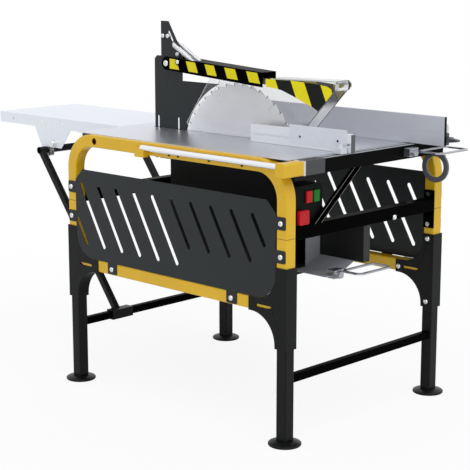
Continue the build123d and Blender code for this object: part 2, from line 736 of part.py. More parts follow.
def make_leg_bracket(side, end):
    """Sheet bracket around a lower ring corner, with a sleeve for the leg and a curved gusset."""
    bend = RING_BEND - TUBE
    outer = END_Y + BRACKET_SHEET
    gusset_mid = (end * (GUSSET_Y + GUSSET_R * COS_45), GUSSET_Z + GUSSET_R * COS_45)
    bend_mid = (end * (BEND_Y + bend * COS_45), BEND_LOW_Z - bend * COS_45)
    web_r = GUSSET_R + BRACKET_SHEET
    web_mid = (end * (GUSSET_Y + web_r * COS_45), GUSSET_Z + web_r * COS_45)
    with BuildPart() as bracket:
        with BuildSketch(Plane.YZ.offset(side * RING_X - SLEEVE / 2)):
            with BuildLine():
                Polyline((end * (END_Y - TUBE), BEND_LOW_Z), (end * (END_Y - TUBE), BRACKET_TOP),
                         (end * outer, BRACKET_TOP), (end * outer, SLEEVE_END),
                         (end * (outer - SLEEVE), SLEEVE_END), (end * (outer - SLEEVE), GUSSET_Z))
                ThreePointArc((end * (outer - SLEEVE), GUSSET_Z), gusset_mid,
                              (end * GUSSET_Y, GUSSET_Z + GUSSET_R))
                Polyline((end * GUSSET_Y, GUSSET_Z + GUSSET_R), (end * BRACKET_END, GUSSET_Z + GUSSET_R),
                         (end * BRACKET_END, RING_BOTTOM + TUBE), (end * BEND_Y, RING_BOTTOM + TUBE))
                ThreePointArc((end * BEND_Y, RING_BOTTOM + TUBE), bend_mid,
                              (end * (END_Y - TUBE), BEND_LOW_Z))
            make_face()
        extrude(amount=SLEEVE)
        with BuildSketch(Plane.YZ.offset(side * RING_X - TUBE / 2)):
            with BuildLine():
                Polyline((end * BRACKET_END - end * TUBE, RING_BOTTOM),
                         (end * BRACKET_END - end * TUBE, BRACKET_TOP + TUBE),
                         (end * END_Y, BRACKET_TOP + TUBE), (end * END_Y, SLEEVE_END - TUBE),
                         (end * (END_Y - TUBE), SLEEVE_END - TUBE), (end * (END_Y - TUBE), GUSSET_Z))
                ThreePointArc((end * (END_Y - TUBE), GUSSET_Z), web_mid, (end * GUSSET_Y, RING_BOTTOM))
                Line((end * GUSSET_Y, RING_BOTTOM), (end * BRACKET_END - end * TUBE, RING_BOTTOM))
            make_face()
        extrude(amount=TUBE, mode=Mode.SUBTRACT)
        with BuildSketch(Plane.YZ.offset(side * INNER_X)):
            with Locations((end * WINDOW_Y, WINDOW_Z)):
                SlotOverall(WINDOW_LENGTH, WINDOW_HEIGHT)
            with Locations((end * POST_Y, LEG_BOLT_Z), *bracket_bolts(end)):
                Circle(BOLT_R + RUN_GAP)
        extrude(amount=-side * BRACKET_SHEET, mode=Mode.SUBTRACT)
        with BuildSketch(Plane.YZ.offset(side * FACE_X)):
            with Locations((end * WINDOW_Y, WINDOW_Z)):
                SlotOverall(WINDOW_LENGTH, WINDOW_HEIGHT)
        extrude(amount=side * BRACKET_SHEET, mode=Mode.SUBTRACT)
    return bracket


for end_name, end in ENDS.items():
    for side_name, side in SIDES.items():
        keep(make_leg_bracket(side, end), f"{end_name}_{side_name}_leg_bracket")

CORNERS = [(side * RING_X, end * POST_Y) for side in (-1, 1) for end in (-1, 1)]
with BuildPart() as legs:
    with BuildSketch(Plane.XY.offset(FOOT_HEIGHT)):
        with Locations(*CORNERS):
            RectangleRounded(LEG, LEG, TUBE_EDGE)
            Rectangle(LEG - 2 * LEG_WALL, LEG - 2 * LEG_WALL, mode=Mode.SUBTRACT)
    extrude(amount=LEG_TOP - FOOT_HEIGHT)
    for x, y in CORNERS:
        side = math.copysign(1, x)
        wall = (side * LEG_SPACE, side * (LEG_SPACE + LEG_WALL))
        rod(wall, y, LEG_BOLT_Z, BOLT_R + RUN_GAP, mode=Mode.SUBTRACT)
keep(legs, "legs")

with BuildPart() as feet:
    for x, y in CORNERS:
        with BuildSketch(Plane.XZ.offset(-y)):
            with BuildLine():
                Polyline((x, FOOT_HEIGHT), (x, 0), (x + FOOT_R - FOOT_ROUND, 0), (x + FOOT_R, FOOT_ROUND),
                         (x + FOOT_R, FOOT_EDGE - FOOT_ROUND), (x + FOOT_R - FOOT_ROUND, FOOT_EDGE),
                         (x + FOOT_HUB_R, FOOT_HEIGHT), close=True)
            make_face()
        revolve(axis=Axis((x, y, 0), (0, 0, 1)))
        plug = LEG - 2 * LEG_WALL - 2 * PLUG_GAP
        with Locations((x, y, FOOT_HEIGHT + FOOT_PLUG / 2)):
            Box(plug, plug, FOOT_PLUG)
keep(feet, "feet")

# Cross members
keep(cross_tube((-LEG_SPACE, LEG_SPACE), -POST_Y, BAR_Z, BAR, BAR_WALL), "lower_front_bar")
keep(cross_tube((-LEG_SPACE, LEG_SPACE), POST_Y, BAR_Z, BAR, BAR_WALL), "lower_rear_bar")


def make_mid_beam(end):
    """A square tube between the rings, with a bolted plate on each end."""
    reach = INNER_X - BEAM_PLATE
    tube = cross_tube((-reach, reach), end * POST_Y, MID_BEAM_Z, TUBE, TUBE_WALL)
    with BuildPart() as beam:
        add(tube.part)
        for side in SIDES.values():
            with BuildSketch(Plane.YZ.offset(side * reach)):
                with Locations((end * POST_Y, BEAM_PLATE_Z)):
                    RectangleRounded(TUBE, BEAM_PLATE_HEIGHT, TUBE_EDGE)
                with Locations(*beam_bolts(side, end)):
                    Circle(BOLT_R + RUN_GAP, mode=Mode.SUBTRACT)
            extrude(amount=side * BEAM_PLATE)
        face = (end * (END_Y - TUBE_WALL), end * END_Y)
        rod_y(face, BEAM_BOLT_X, BEAM_BOLT_Z, BOLT_R + RUN_GAP, mode=Mode.SUBTRACT)
    return beam


for end_name, end in ENDS.items():
    keep(make_mid_beam(end), f"{end_name}_mid_beam")


def brace_points(lip):
    """Corners of the slanted bar between mid beam and rail, narrowed by a lip on both long sides."""
    half = BRACE_WIDTH / 2 - lip
    return [(BRACE_FOOT_X - half, MID_BEAM_TOP), (BRACE_FOOT_X + half, MID_BEAM_TOP),
            (BRACE_HEAD_X + half, RAIL_BOTTOM), (BRACE_HEAD_X - half, RAIL_BOTTOM)]


with BuildPart() as diagonal_brace:
    with BuildSketch(Plane.XZ.offset(-TABLE_FRONT)):
        with BuildLine():
            Polyline(*brace_points(0), close=True)
        make_face()
    extrude(amount=BRACE_DEPTH)
    with BuildSketch(Plane.XZ.offset(-TABLE_FRONT + BRACE_SHEET)):
        with BuildLine():
            Polyline(*brace_points(BRACE_LIP), close=True)
        make_face()
    extrude(amount=BRACE_DEPTH, mode=Mode.SUBTRACT)
keep(diagonal_brace, "diagonal_brace")


def make_rail(x, length):
    """A stretch of slotted rail: a hollow below and a T-slot in the top."""
    hollow_top = RING_TOP - NECK_DEPTH - HEAD_DEPTH - RAIL_WALL
    hollow_bottom = RAIL_BOTTOM + RAIL_WALL
    with BuildPart() as rail:
        with BuildSketch(Plane.YZ.offset(x)):
            with Locations((SLOT_Y, RAIL_MID_Z)):
                Rectangle(RAIL_DEPTH, RAIL_HEIGHT)
            with Locations((SLOT_Y, RING_TOP - NECK_DEPTH / 2)):
                Rectangle(NECK_WIDTH, NECK_DEPTH, mode=Mode.SUBTRACT)
            with Locations((SLOT_Y, RING_TOP - NECK_DEPTH - HEAD_DEPTH / 2)):
                Rectangle(HEAD_WIDTH, HEAD_DEPTH, mode=Mode.SUBTRACT)
            with Locations((SLOT_Y, (hollow_top + hollow_bottom) / 2)):
                Rectangle(RAIL_DEPTH - 2 * RAIL_WALL, hollow_top - hollow_bottom, mode=Mode.SUBTRACT)
        extrude(amount=length)
    return rail


keep(make_rail(RAIL_LEFT, RAIL_RIGHT - RAIL_LEFT), "front_rail")
keep(make_rail(-INNER_X, RAIL_LEFT + INNER_X), "rail_end_block")

with BuildPart() as corner_stub:
    block((STUB_LEFT, -INNER_X), (RAIL_FRONT, TABLE_FRONT), (RAIL_BOTTOM, RING_TOP))
    fillet(corner_stub.edges().filter_by(Axis.X), STUB_EDGE)
    fillet(corner_stub.faces().sort_by(Axis.X)[0].edges(), STUB_END_EDGE)
    block((STUB_LEFT + STUB_WALL, -INNER_X), (RAIL_FRONT + STUB_WALL, TABLE_FRONT - STUB_WALL),
          (RAIL_BOTTOM + STUB_WALL, RING_TOP - STUB_WALL), mode=Mode.SUBTRACT)
    web_top = RING_TOP - STUB_WEB_EDGE
    web_foot = RAIL_BOTTOM + STUB_WEB_EDGE
    web_back = -BEND_Y - math.sqrt(RING_BEND ** 2 - (web_foot - BEND_HIGH_Z) ** 2)
    web_front = -BEND_Y - math.sqrt(RING_BEND ** 2 - (web_top - BEND_HIGH_Z) ** 2)
    middle_angle = (math.atan2(web_foot - BEND_HIGH_Z, -BEND_Y - web_back)
                    + math.atan2(web_top - BEND_HIGH_Z, -BEND_Y - web_front)) / 2
    web_mid = (-BEND_Y - RING_BEND * math.cos(middle_angle),
               BEND_HIGH_Z + RING_BEND * math.sin(middle_angle))
    with BuildSketch(Plane.YZ.offset(-RING_X - STUB_WEB / 2)):
        with BuildLine():
            Polyline((web_front, web_top), (TABLE_FRONT - STUB_WALL / 2, web_top),
                     (TABLE_FRONT - STUB_WALL / 2, web_foot), (web_back, web_foot))
            ThreePointArc((web_back, web_foot), web_mid, (web_front, web_top))
        make_face()
    extrude(amount=STUB_WEB)
keep(corner_stub, "corner_stub")

# Bright slide rail
with BuildPart() as slide_rail:
    rod_y((TABLE_FRONT, SLIDE_REAR), SLIDE_X, SLIDE_Z, SLIDE_R)
    with BuildSketch(Plane.XZ.offset(-TABLE_FRONT)):
        with Locations((SLIDE_X, SLIDE_Z)):
            RegularPolygon(SLIDE_NUT_R, 6)
    extrude(amount=-SLIDE_NUT_LENGTH)
    chamfer(slide_rail.faces().sort_by(Axis.Y)[-1].edges(), SLIDE_CHAMFER)
keep(slide_rail, "slide_rail")

with BuildPart() as slide_rail_lug:
    block((SLIDE_X - SLIDE_R, -FACE_X), (LUG_FRONT, LUG_FRONT + LUG_LENGTH),
          (SLIDE_Z - SLIDE_R - LUG_HEIGHT, SLIDE_Z))
    rod_y((LUG_FRONT, SLIDE_REAR + RUN_GAP), SLIDE_X, SLIDE_Z, SLIDE_R + RUN_GAP, mode=Mode.SUBTRACT)
    chamfer(slide_rail_lug.edges().filter_by(Axis.Y).sort_by(Axis.X)[0], LUG_CHAMFER)
keep(slide_rail_lug, "slide_rail_lug")

# Table top
with BuildPart() as table_top:
    with BuildSketch(Plane.XY.offset(RING_TOP)):
        with Locations((0, (TABLE_FRONT + TABLE_REAR) / 2)):
            RectangleRounded(2 * TABLE_HALF, TABLE_REAR - TABLE_FRONT, TABLE_CORNER)
        with Locations((BLADE_X, (BLADE_SLOT_FRONT + BLADE_SLOT_REAR) / 2)):
            RectangleRounded(BLADE_SLOT, BLADE_SLOT_REAR - BLADE_SLOT_FRONT, BLADE_SLOT_ROUND,
                             mode=Mode.SUBTRACT)
    extrude(amount=TABLE_SHEET)
    flange_x = INNER_X - FLANGE_GAP
    for flange_y in (TABLE_FRONT, TABLE_REAR - TABLE_SHEET):
        block((-flange_x, flange_x), (flange_y, flange_y + TABLE_SHEET), (RING_TOP - TABLE_FLANGE, RING_TOP))
keep(table_top, "table_top")

# Side panels: the upper end of every slot, from the rear, and the height of its lower end
lean = math.tan(math.radians(SLOT_LEAN))
def panel_slots(long_slots):
    """Slots of a side sheet, of which so many from the rear are long."""
    slots = [(PANEL_HALF - END_SLOT_INSET, END_SLOT_TOP, LONG_SLOT_END + END_SLOT_LIFT)]
    for number in range(FULL_SLOTS):
        slot_end = LONG_SLOT_END if number < long_slots else SHORT_SLOT_END
        if number == FULL_SLOTS - 1:
            slot_end = LAST_SLOT_END
        slots.append((FIRST_SLOT_Y - number * SLOT_PITCH, SLOT_TOP, slot_end))
    return slots


def make_panel(side, slots):
    """A side sheet with tabs on the ring and a row of slanted slots."""
    corner_r = PANEL_HALF - BEND_Y
    foot_z = BEND_LOW_Z - corner_r
    bend_mid_y = BEND_Y + corner_r * COS_45
    bend_mid_z = BEND_LOW_Z - corner_r * COS_45
    with BuildPart() as panel:
        with BuildSketch(Plane.YZ.offset(side * FACE_X)):
            with BuildLine():
                Polyline((BEND_Y, foot_z), (-BEND_Y, foot_z))
                ThreePointArc((-BEND_Y, foot_z), (-bend_mid_y, bend_mid_z), (-PANEL_HALF, BEND_LOW_Z))
                Polyline((-PANEL_HALF, BEND_LOW_Z), (-PANEL_HALF, PANEL_TOP - PANEL_CUT),
                         (-PANEL_HALF + PANEL_CUT, PANEL_TOP), (PANEL_HALF - PANEL_CUT, PANEL_TOP),
                         (PANEL_HALF, PANEL_TOP - PANEL_CUT), (PANEL_HALF, BEND_LOW_Z))
                ThreePointArc((PANEL_HALF, BEND_LOW_Z), (bend_mid_y, bend_mid_z), (BEND_Y, foot_z))
            make_face()
            with Locations(*[(0, z) for z in TAB_Z]):
                RectangleRounded(FRAME_LENGTH - TAB_EDGE, TAB_HEIGHT, TAB_EDGE)
            with Locations(*[(end * FOOT_TAB_Y, RING_BOTTOM + TUBE) for end in (-1, 1)]):
                RectangleRounded(FOOT_TAB_WIDTH, 2 * TUBE - TAB_EDGE, TAB_EDGE)
            for top_y, top, foot in slots:
                middle_z = (top + foot) / 2
                middle_y = top_y - (top - middle_z) * lean
                length = (top - foot) / math.cos(math.radians(SLOT_LEAN))
                with Locations((middle_y, middle_z)):
                    SlotOverall(length, SLOT_WIDTH, rotation=90 - SLOT_LEAN, mode=Mode.SUBTRACT)
            with Locations(*PANEL_BOLTS):
                Circle(BOLT_R + RUN_GAP, mode=Mode.SUBTRACT)
        extrude(amount=side * PANEL_SHEET)
    return panel


keep(make_panel(SIDES["left"], panel_slots(LEFT_LONG_SLOTS)), "left_panel")
keep(make_panel(SIDES["right"], panel_slots(FULL_SLOTS)), "right_panel")


def make_bolt(shank_r, head_r, head, reach):
    """A button head bolt with a hexagon socket, its head above the origin and its shank below."""
    with BuildPart() as bolt:
        rod_z((0, head), 0, 0, head_r)
        fillet(bolt.edges().sort_by(Axis.Z)[-1], DOME_SHARE * head)
        rod_z((-reach, 0), 0, 0, shank_r)
        with BuildSketch(Plane.XY.offset(head)):
            RegularPolygon(SOCKET_SHARE * head_r, 6)
        extrude(amount=-head / 2, mode=Mode.SUBTRACT)
    return bolt.part


short_bolt = make_bolt(BOLT_R, BOLT_HEAD_R, BOLT_HEAD, BOLT_REACH)
through_bolt = make_bolt(BOLT_R, BOLT_HEAD_R, BOLT_HEAD, PANEL_SHEET + TUBE + BEAM_PLATE + NUT)
with BuildPart() as frame_bolts:
    for side in SIDES.values():
        through_places = beam_bolts(side, -1) + beam_bolts(side, 1)
        for y, z in PANEL_BOLTS:
            with Locations(Location((side * (FACE_X + PANEL_SHEET), y, z), (0, side * 90, 0))):
                add(through_bolt if (y, z) in through_places else short_bolt)
        with BuildSketch(Plane.YZ.offset(side * (INNER_X - BEAM_PLATE))):
            with Locations(*through_places):
                RegularPolygon(NUT_R, 6)
        extrude(amount=-side * NUT)
        for end in ENDS.values():
            for y, z in [(end * POST_Y, LEG_BOLT_Z), *bracket_bolts(end)]:
                with Locations(Location((side * (INNER_X - BRACKET_SHEET), y, z), (0, -side * 90, 0))):
                    add(short_bolt)
    for end in ENDS.values():
        with Locations(Location((BEAM_BOLT_X, end * END_Y, BEAM_BOLT_Z), (-end * 90, 0, 0))):
            add(short_bolt)
keep(frame_bolts, "frame_bolts")

# Blade casing, its right-hand cover and the chip chute
def casing_profile(inset):
    """Side view of the blade casing, drawn in by an inset and bent below its rear wall, in the open line."""
    front, rear, foot = CASE_FRONT + inset, CASE_REAR - inset, CASE_BOTTOM + inset
    bend = CASE_BEND - inset
    bend_mid = (rear - bend + bend * COS_45, foot + bend - bend * COS_45)
    Polyline((rear, foot + bend), (rear, RING_TOP), (front, RING_TOP), (front, foot), (rear - bend, foot))
    ThreePointArc((rear - bend, foot), bend_mid, (rear, foot + bend))


with BuildPart() as blade_casing:
    with BuildSketch(Plane.YZ.offset(CASE_LEFT)):
        with BuildLine():
            casing_profile(0)
        make_face()
    extrude(amount=CASE_RIGHT - CASE_LEFT)
    with BuildSketch(Plane.YZ.offset(CASE_LEFT + CASE_SHEET)):
        with BuildLine():
            casing_profile(CASE_SHEET)
        make_face()
    extrude(amount=CASE_RIGHT - CASE_LEFT, mode=Mode.SUBTRACT)
    block((OUTLET_LEFT, OUTLET_RIGHT), (CASE_FRONT, CASE_FRONT + CASE_SHEET),
          (CASE_BOTTOM + CASE_SHEET, OUTLET_TOP), mode=Mode.SUBTRACT)
keep(blade_casing, "blade_casing")

with BuildPart() as casing_cover:
    with BuildSketch(Plane.YZ.offset(CASE_RIGHT)):
        with BuildLine():
            casing_profile(0)
        make_face()
        with Locations((BLADE_Y, ARBOR_Z)):
            Circle(CASE_HOLE_R, mode=Mode.SUBTRACT)
    extrude(amount=CASE_SHEET)
keep(casing_cover, "casing_cover")

with BuildPart() as chip_chute:
    with BuildSketch(Plane.XZ.offset(-CASE_FRONT)):
        with BuildLine():
            Polyline((CHUTE_LEFT, CHUTE_FLOOR), (CHUTE_STEP_X, CHUTE_FLOOR),
                     (CHUTE_RIGHT, CHUTE_FLOOR + CHUTE_LIFT),
                     (CHUTE_RIGHT, CHUTE_FLOOR + CHUTE_LIFT + CHUTE_SHEET),
                     (CHUTE_STEP_X, CHUTE_FLOOR + CHUTE_SHEET), (CHUTE_LEFT, CHUTE_FLOOR + CHUTE_SHEET),
                     close=True)
        make_face()
    extrude(amount=CASE_FRONT - CHUTE_FRONT)
    beam_foot = MID_BEAM_TOP - TUBE
    block((CHUTE_RIGHT - CHUTE_SHEET, CHUTE_RIGHT), (CHUTE_WALL_FRONT, CASE_FRONT),
          (CHUTE_FLOOR + CHUTE_LIFT, beam_foot))
    block((CHUTE_STEP_X, CHUTE_RIGHT), (CASE_FRONT - CHUTE_SHEET, CASE_FRONT), (CHUTE_FLOOR, beam_foot))
    block((CHUTE_RIGHT - CHUTE_SHEET, CHUTE_RIGHT + CHUTE_FLANGE),
          (CHUTE_WALL_FRONT, CHUTE_WALL_FRONT + CHUTE_SHEET), (CHUTE_FLOOR + CHUTE_LIFT, beam_foot))
keep(chip_chute, "chip_chute")

# Saw motor
with BuildPart() as motor_bracket:
    with BuildSketch(Plane.XZ.offset(PLATE_WIDTH / 2 - BLADE_Y)):
        with BuildLine():
            Polyline((CASE_PLATE_X, RING_TOP), (CASE_PLATE_X + PLATE_FLANGE, RING_TOP),
                     (CASE_PLATE_X + PLATE_FLANGE, RING_TOP - PLATE_TOP_SHEET),
                     (MOTOR_X, RING_TOP - PLATE_TOP_SHEET),
                     (MOTOR_X, ARBOR_Z - PLATE_DROP), (CASE_PLATE_X, ARBOR_Z - PLATE_DROP), close=True)
        make_face()
    extrude(amount=-PLATE_WIDTH)
    rod((CASE_PLATE_X, MOTOR_X), BLADE_Y, ARBOR_Z, PLATE_HOLE_R, mode=Mode.SUBTRACT)
keep(motor_bracket, "motor_bracket")

motor_foot = ARBOR_Z - MOTOR_HEIGHT / 2
bearing_ends = MOTOR_X + MOTOR_WALL, STATOR_END + REAR_BEARING
with BuildPart() as motor_housing:
    with BuildSketch(Plane.YZ.offset(MOTOR_X)):
        with Locations((BLADE_Y, ARBOR_Z)):
            RectangleRounded(MOTOR_WIDTH, MOTOR_HEIGHT, MOTOR_EDGE)
    extrude(amount=MOTOR_LENGTH)
    for side in (-1, 1):
        for number in range(FIN_COUNT):
            groove_y = BLADE_Y + side * (STATOR_R + FIN_GROOVE + number * FIN_PITCH)
            block((MOTOR_X + FIN_END, MOTOR_END - FIN_END),
                  (groove_y - FIN_GROOVE / 2, groove_y + FIN_GROOVE / 2),
                  (motor_foot, motor_foot + FIN_DEPTH), mode=Mode.SUBTRACT)
    rod((STATOR_X, STATOR_END), BLADE_Y, ARBOR_Z, STATOR_R, mode=Mode.SUBTRACT)
    rod((MOTOR_X + MOTOR_WALL, STATOR_X), BLADE_Y, ARBOR_Z, FRONT_BEARING_R, mode=Mode.SUBTRACT)
    rod((MOTOR_X, MOTOR_X + MOTOR_WALL), BLADE_Y, ARBOR_Z, ARBOR_R + SHAFT_CLEAR, mode=Mode.SUBTRACT)
    rod((STATOR_END, bearing_ends[1]), BLADE_Y, ARBOR_Z, REAR_BEARING_R, mode=Mode.SUBTRACT)
    rod((bearing_ends[1], MOTOR_END), BLADE_Y, ARBOR_Z, REAR_SHAFT_R + SHAFT_CLEAR, mode=Mode.SUBTRACT)
    terminal_x = (MOTOR_X + MOTOR_END) / 2
    block((terminal_x - TERMINAL_LENGTH / 2, terminal_x + TERMINAL_LENGTH / 2),
          (BLADE_Y - TERMINAL_LENGTH / 2, BLADE_Y + TERMINAL_LENGTH / 2),
          (motor_foot - TERMINAL_DEPTH, motor_foot))
keep(motor_housing, "motor_housing")

with BuildPart() as motor_bearings:
    front_bearing = (bearing_ends[0], bearing_ends[0] + FRONT_BEARING)
    rear_bearing = (STATOR_END, bearing_ends[1])
    rod(front_bearing, BLADE_Y, ARBOR_Z, FRONT_BEARING_R - RUN_GAP)
    rod(front_bearing, BLADE_Y, ARBOR_Z, ARBOR_R + RUN_GAP, mode=Mode.SUBTRACT)
    rod(rear_bearing, BLADE_Y, ARBOR_Z, REAR_BEARING_R - RUN_GAP)
    rod(rear_bearing, BLADE_Y, ARBOR_Z, REAR_SHAFT_R + RUN_GAP, mode=Mode.SUBTRACT)
keep(motor_bearings, "motor_bearings")

with BuildPart() as fan_cover:
    rod((MOTOR_END, MOTOR_END + COVER_DEPTH), BLADE_Y, ARBOR_Z, COVER_R)
    rod((MOTOR_END, MOTOR_END + COVER_DEPTH - COVER_WALL), BLADE_Y, ARBOR_Z, COVER_R - COVER_WALL,
        mode=Mode.SUBTRACT)
    with BuildSketch(Plane.YZ.offset(MOTOR_END + COVER_DEPTH)):
        with Locations((BLADE_Y, ARBOR_Z)):
            for row_r, holes in GRILLE_ROWS:
                with PolarLocations(row_r, holes):
                    Circle(GRILLE_HOLE_R)
    extrude(amount=-COVER_WALL, mode=Mode.SUBTRACT)
keep(fan_cover, "fan_cover")

# Turning set: rotor with arbor, fan, flanges, nut and blade
NUT_LEFT = BLADE_LEFT - FLANGE_THICK - ARBOR_NUT_LENGTH
ROTOR_X = STATOR_X + (STATOR_LENGTH - ROTOR_LENGTH) / 2
with BuildPart() as motor_rotor:
    rod((NUT_LEFT - ARBOR_TIP, ROTOR_X), BLADE_Y, ARBOR_Z, ARBOR_R)
    rod((ROTOR_X, ROTOR_X + ROTOR_LENGTH), BLADE_Y, ARBOR_Z, ROTOR_R)
    rod((ROTOR_X + ROTOR_LENGTH, FAN_X + FAN_THICK), BLADE_Y, ARBOR_Z, REAR_SHAFT_R)
    chamfer(motor_rotor.faces().sort_by(Axis.X)[0].edges(), ARBOR_CHAMFER)
keep(motor_rotor, "motor_rotor")

with BuildPart() as cooling_fan:
    rod((FAN_X, FAN_X + FAN_THICK), BLADE_Y, ARBOR_Z, FAN_HUB_R)
    rod((FAN_X, FAN_X + FAN_DISC), BLADE_Y, ARBOR_Z, FAN_R)
    with BuildSketch(Plane.YZ.offset(FAN_X)):
        with Locations((BLADE_Y, ARBOR_Z)):
            with PolarLocations((FAN_R + FAN_HUB_R) / 2 - FAN_DISC, FAN_VANES):
                Rectangle(FAN_R - FAN_HUB_R, FAN_DISC)
    extrude(amount=FAN_THICK)
    rod((FAN_X, FAN_X + FAN_THICK), BLADE_Y, ARBOR_Z, REAR_SHAFT_R + RUN_GAP, mode=Mode.SUBTRACT)
keep(cooling_fan, "cooling_fan")

with BuildPart() as blade_flanges:
    rod((BLADE_LEFT - FLANGE_THICK, BLADE_LEFT), BLADE_Y, ARBOR_Z, FLANGE_R)
    rod((BLADE_RIGHT, BLADE_RIGHT + FLANGE_THICK), BLADE_Y, ARBOR_Z, FLANGE_R)
    rod((BLADE_RIGHT + FLANGE_THICK, BLADE_RIGHT + FLANGE_THICK + HUB_LENGTH), BLADE_Y, ARBOR_Z, HUB_R)
    with BuildSketch(Plane.YZ.offset(NUT_LEFT)):
        with Locations((BLADE_Y, ARBOR_Z)):
            RegularPolygon(ARBOR_NUT_R, 6)
    extrude(amount=ARBOR_NUT_LENGTH)
    rod((NUT_LEFT, BLADE_RIGHT + FLANGE_THICK + HUB_LENGTH), BLADE_Y, ARBOR_Z, ARBOR_R + RUN_GAP,
        mode=Mode.SUBTRACT)
keep(blade_flanges, "blade_flanges")


def tooth_points():
    """Outline of the saw blade: a steep face and a long back for every tooth."""
    points = []
    step = 2 * math.pi / TEETH
    for number in range(TEETH):
        for share, depth in TOOTH_SHAPE:
            radius = BLADE_R - depth * TOOTH_DEPTH
            angle = (number + share) * step
            points.append((BLADE_Y - radius * math.cos(angle), ARBOR_Z + radius * math.sin(angle)))
    return points


with BuildPart() as saw_blade:
    with BuildSketch(Plane.YZ.offset(BLADE_LEFT)):
        with BuildLine():
            Polyline(*tooth_points(), close=True)
        make_face()
        with Locations((BLADE_Y, ARBOR_Z)):
            Circle(ARBOR_R + RUN_GAP, mode=Mode.SUBTRACT)
            with PolarLocations(BLADE_R - RELIEF_LENGTH, RELIEF_SLOTS, start_angle=RELIEF_ANGLE):
                Circle(RELIEF_HOLE_R, mode=Mode.SUBTRACT)
            with PolarLocations(BLADE_R - RELIEF_LENGTH / 2, RELIEF_SLOTS, start_angle=RELIEF_ANGLE):
                Rectangle(RELIEF_LENGTH + RELIEF_WIDTH, RELIEF_WIDTH, mode=Mode.SUBTRACT)
    extrude(amount=BLADE_BODY)
keep(saw_blade, "saw_blade")

# Riving knife plate with the spring post, and the clamp block that holds it under the table
knife_arc_r = BLADE_R + KNIFE_GAP


def knife_edge(y):
    """Height of the concave front edge above the floor at a place along Y."""
    return ARBOR_Z + math.sqrt(knife_arc_r ** 2 - (y - BLADE_Y) ** 2)


knife_heel_y = BLADE_Y + math.sqrt(knife_arc_r ** 2 - (TABLE_HEIGHT - ARBOR_Z) ** 2)
knife_arc_mid_y = BLADE_Y + knife_arc_r * COS_45
with BuildPart() as riving_knife:
    with BuildSketch(Plane.YZ.offset(KNIFE_LEFT)):
        with BuildLine():
            Polyline((KNIFE_TIP_Y, knife_edge(KNIFE_TIP_Y)), (KNIFE_STEP_Y, knife_edge(KNIFE_TIP_Y)),
                     (KNIFE_STEP_Y, ADJUST_BOLTS[2][1]),
                     (SPRING_TOP[0] - SPRING_PIN_R - SPRING_PIN_EDGE, SPRING_TOP[1]),
                     (POST_TOP_FRONT, POST_TOP), (POST_REAR, POST_TOP), (POST_REAR, KNIFE_TOP),
                     (KNIFE_REAR - KNIFE_CORNER, KNIFE_TOP), (KNIFE_REAR, KNIFE_TOP - KNIFE_CORNER),
                     (KNIFE_REAR, KNIFE_FOOT), (KNIFE_FOOT_FRONT, KNIFE_FOOT),
                     (KNIFE_FOOT_FRONT, TABLE_HEIGHT),
                     (knife_heel_y, TABLE_HEIGHT))
            ThreePointArc((knife_heel_y, TABLE_HEIGHT), (knife_arc_mid_y, knife_edge(knife_arc_mid_y)),
                          (KNIFE_TIP_Y, knife_edge(KNIFE_TIP_Y)))
        make_face()
        slot_length = KNIFE_SLOT_TOP - KNIFE_FOOT + KNIFE_SLOT
        with Locations(*[(y, KNIFE_SLOT_TOP - slot_length / 2) for y in KNIFE_SLOT_Y]):
            SlotOverall(slot_length, KNIFE_SLOT, rotation=90, mode=Mode.SUBTRACT)
        with Locations(POST_SLOT_AT):
            SlotOverall(POST_SLOT_LENGTH, POST_SLOT_WIDTH, rotation=POST_SLOT_ANGLE, mode=Mode.SUBTRACT)
        with Locations(*ADJUST_BOLTS):
            Circle(ADJUST_BOLT_R + RUN_GAP, mode=Mode.SUBTRACT)
        with Locations((PIVOT_Y, PIVOT_Z)):
            Circle(PIVOT_R + RUN_GAP, mode=Mode.SUBTRACT)
        with Locations(SPRING_TOP):
            Circle(SPRING_PIN_R + RUN_GAP, mode=Mode.SUBTRACT)
    extrude(amount=KNIFE)
keep(riving_knife, "riving_knife")

with BuildPart() as knife_clamp:
    clamp_right = KNIFE_RIGHT + CLAMP_THICK
    block((KNIFE_RIGHT, clamp_right), (KNIFE_FOOT_FRONT, KNIFE_REAR), (TABLE_HEIGHT - CLAMP_DROP, RING_TOP))
    for y in KNIFE_SLOT_Y:
        rod((KNIFE_LEFT - BOLT_HEAD, KNIFE_LEFT), y, KNIFE_BOLT_Z, BOLT_HEAD_R)
        rod((KNIFE_LEFT, clamp_right), y, KNIFE_BOLT_Z, KNIFE_BOLT_R)
keep(knife_clamp, "knife_clamp")

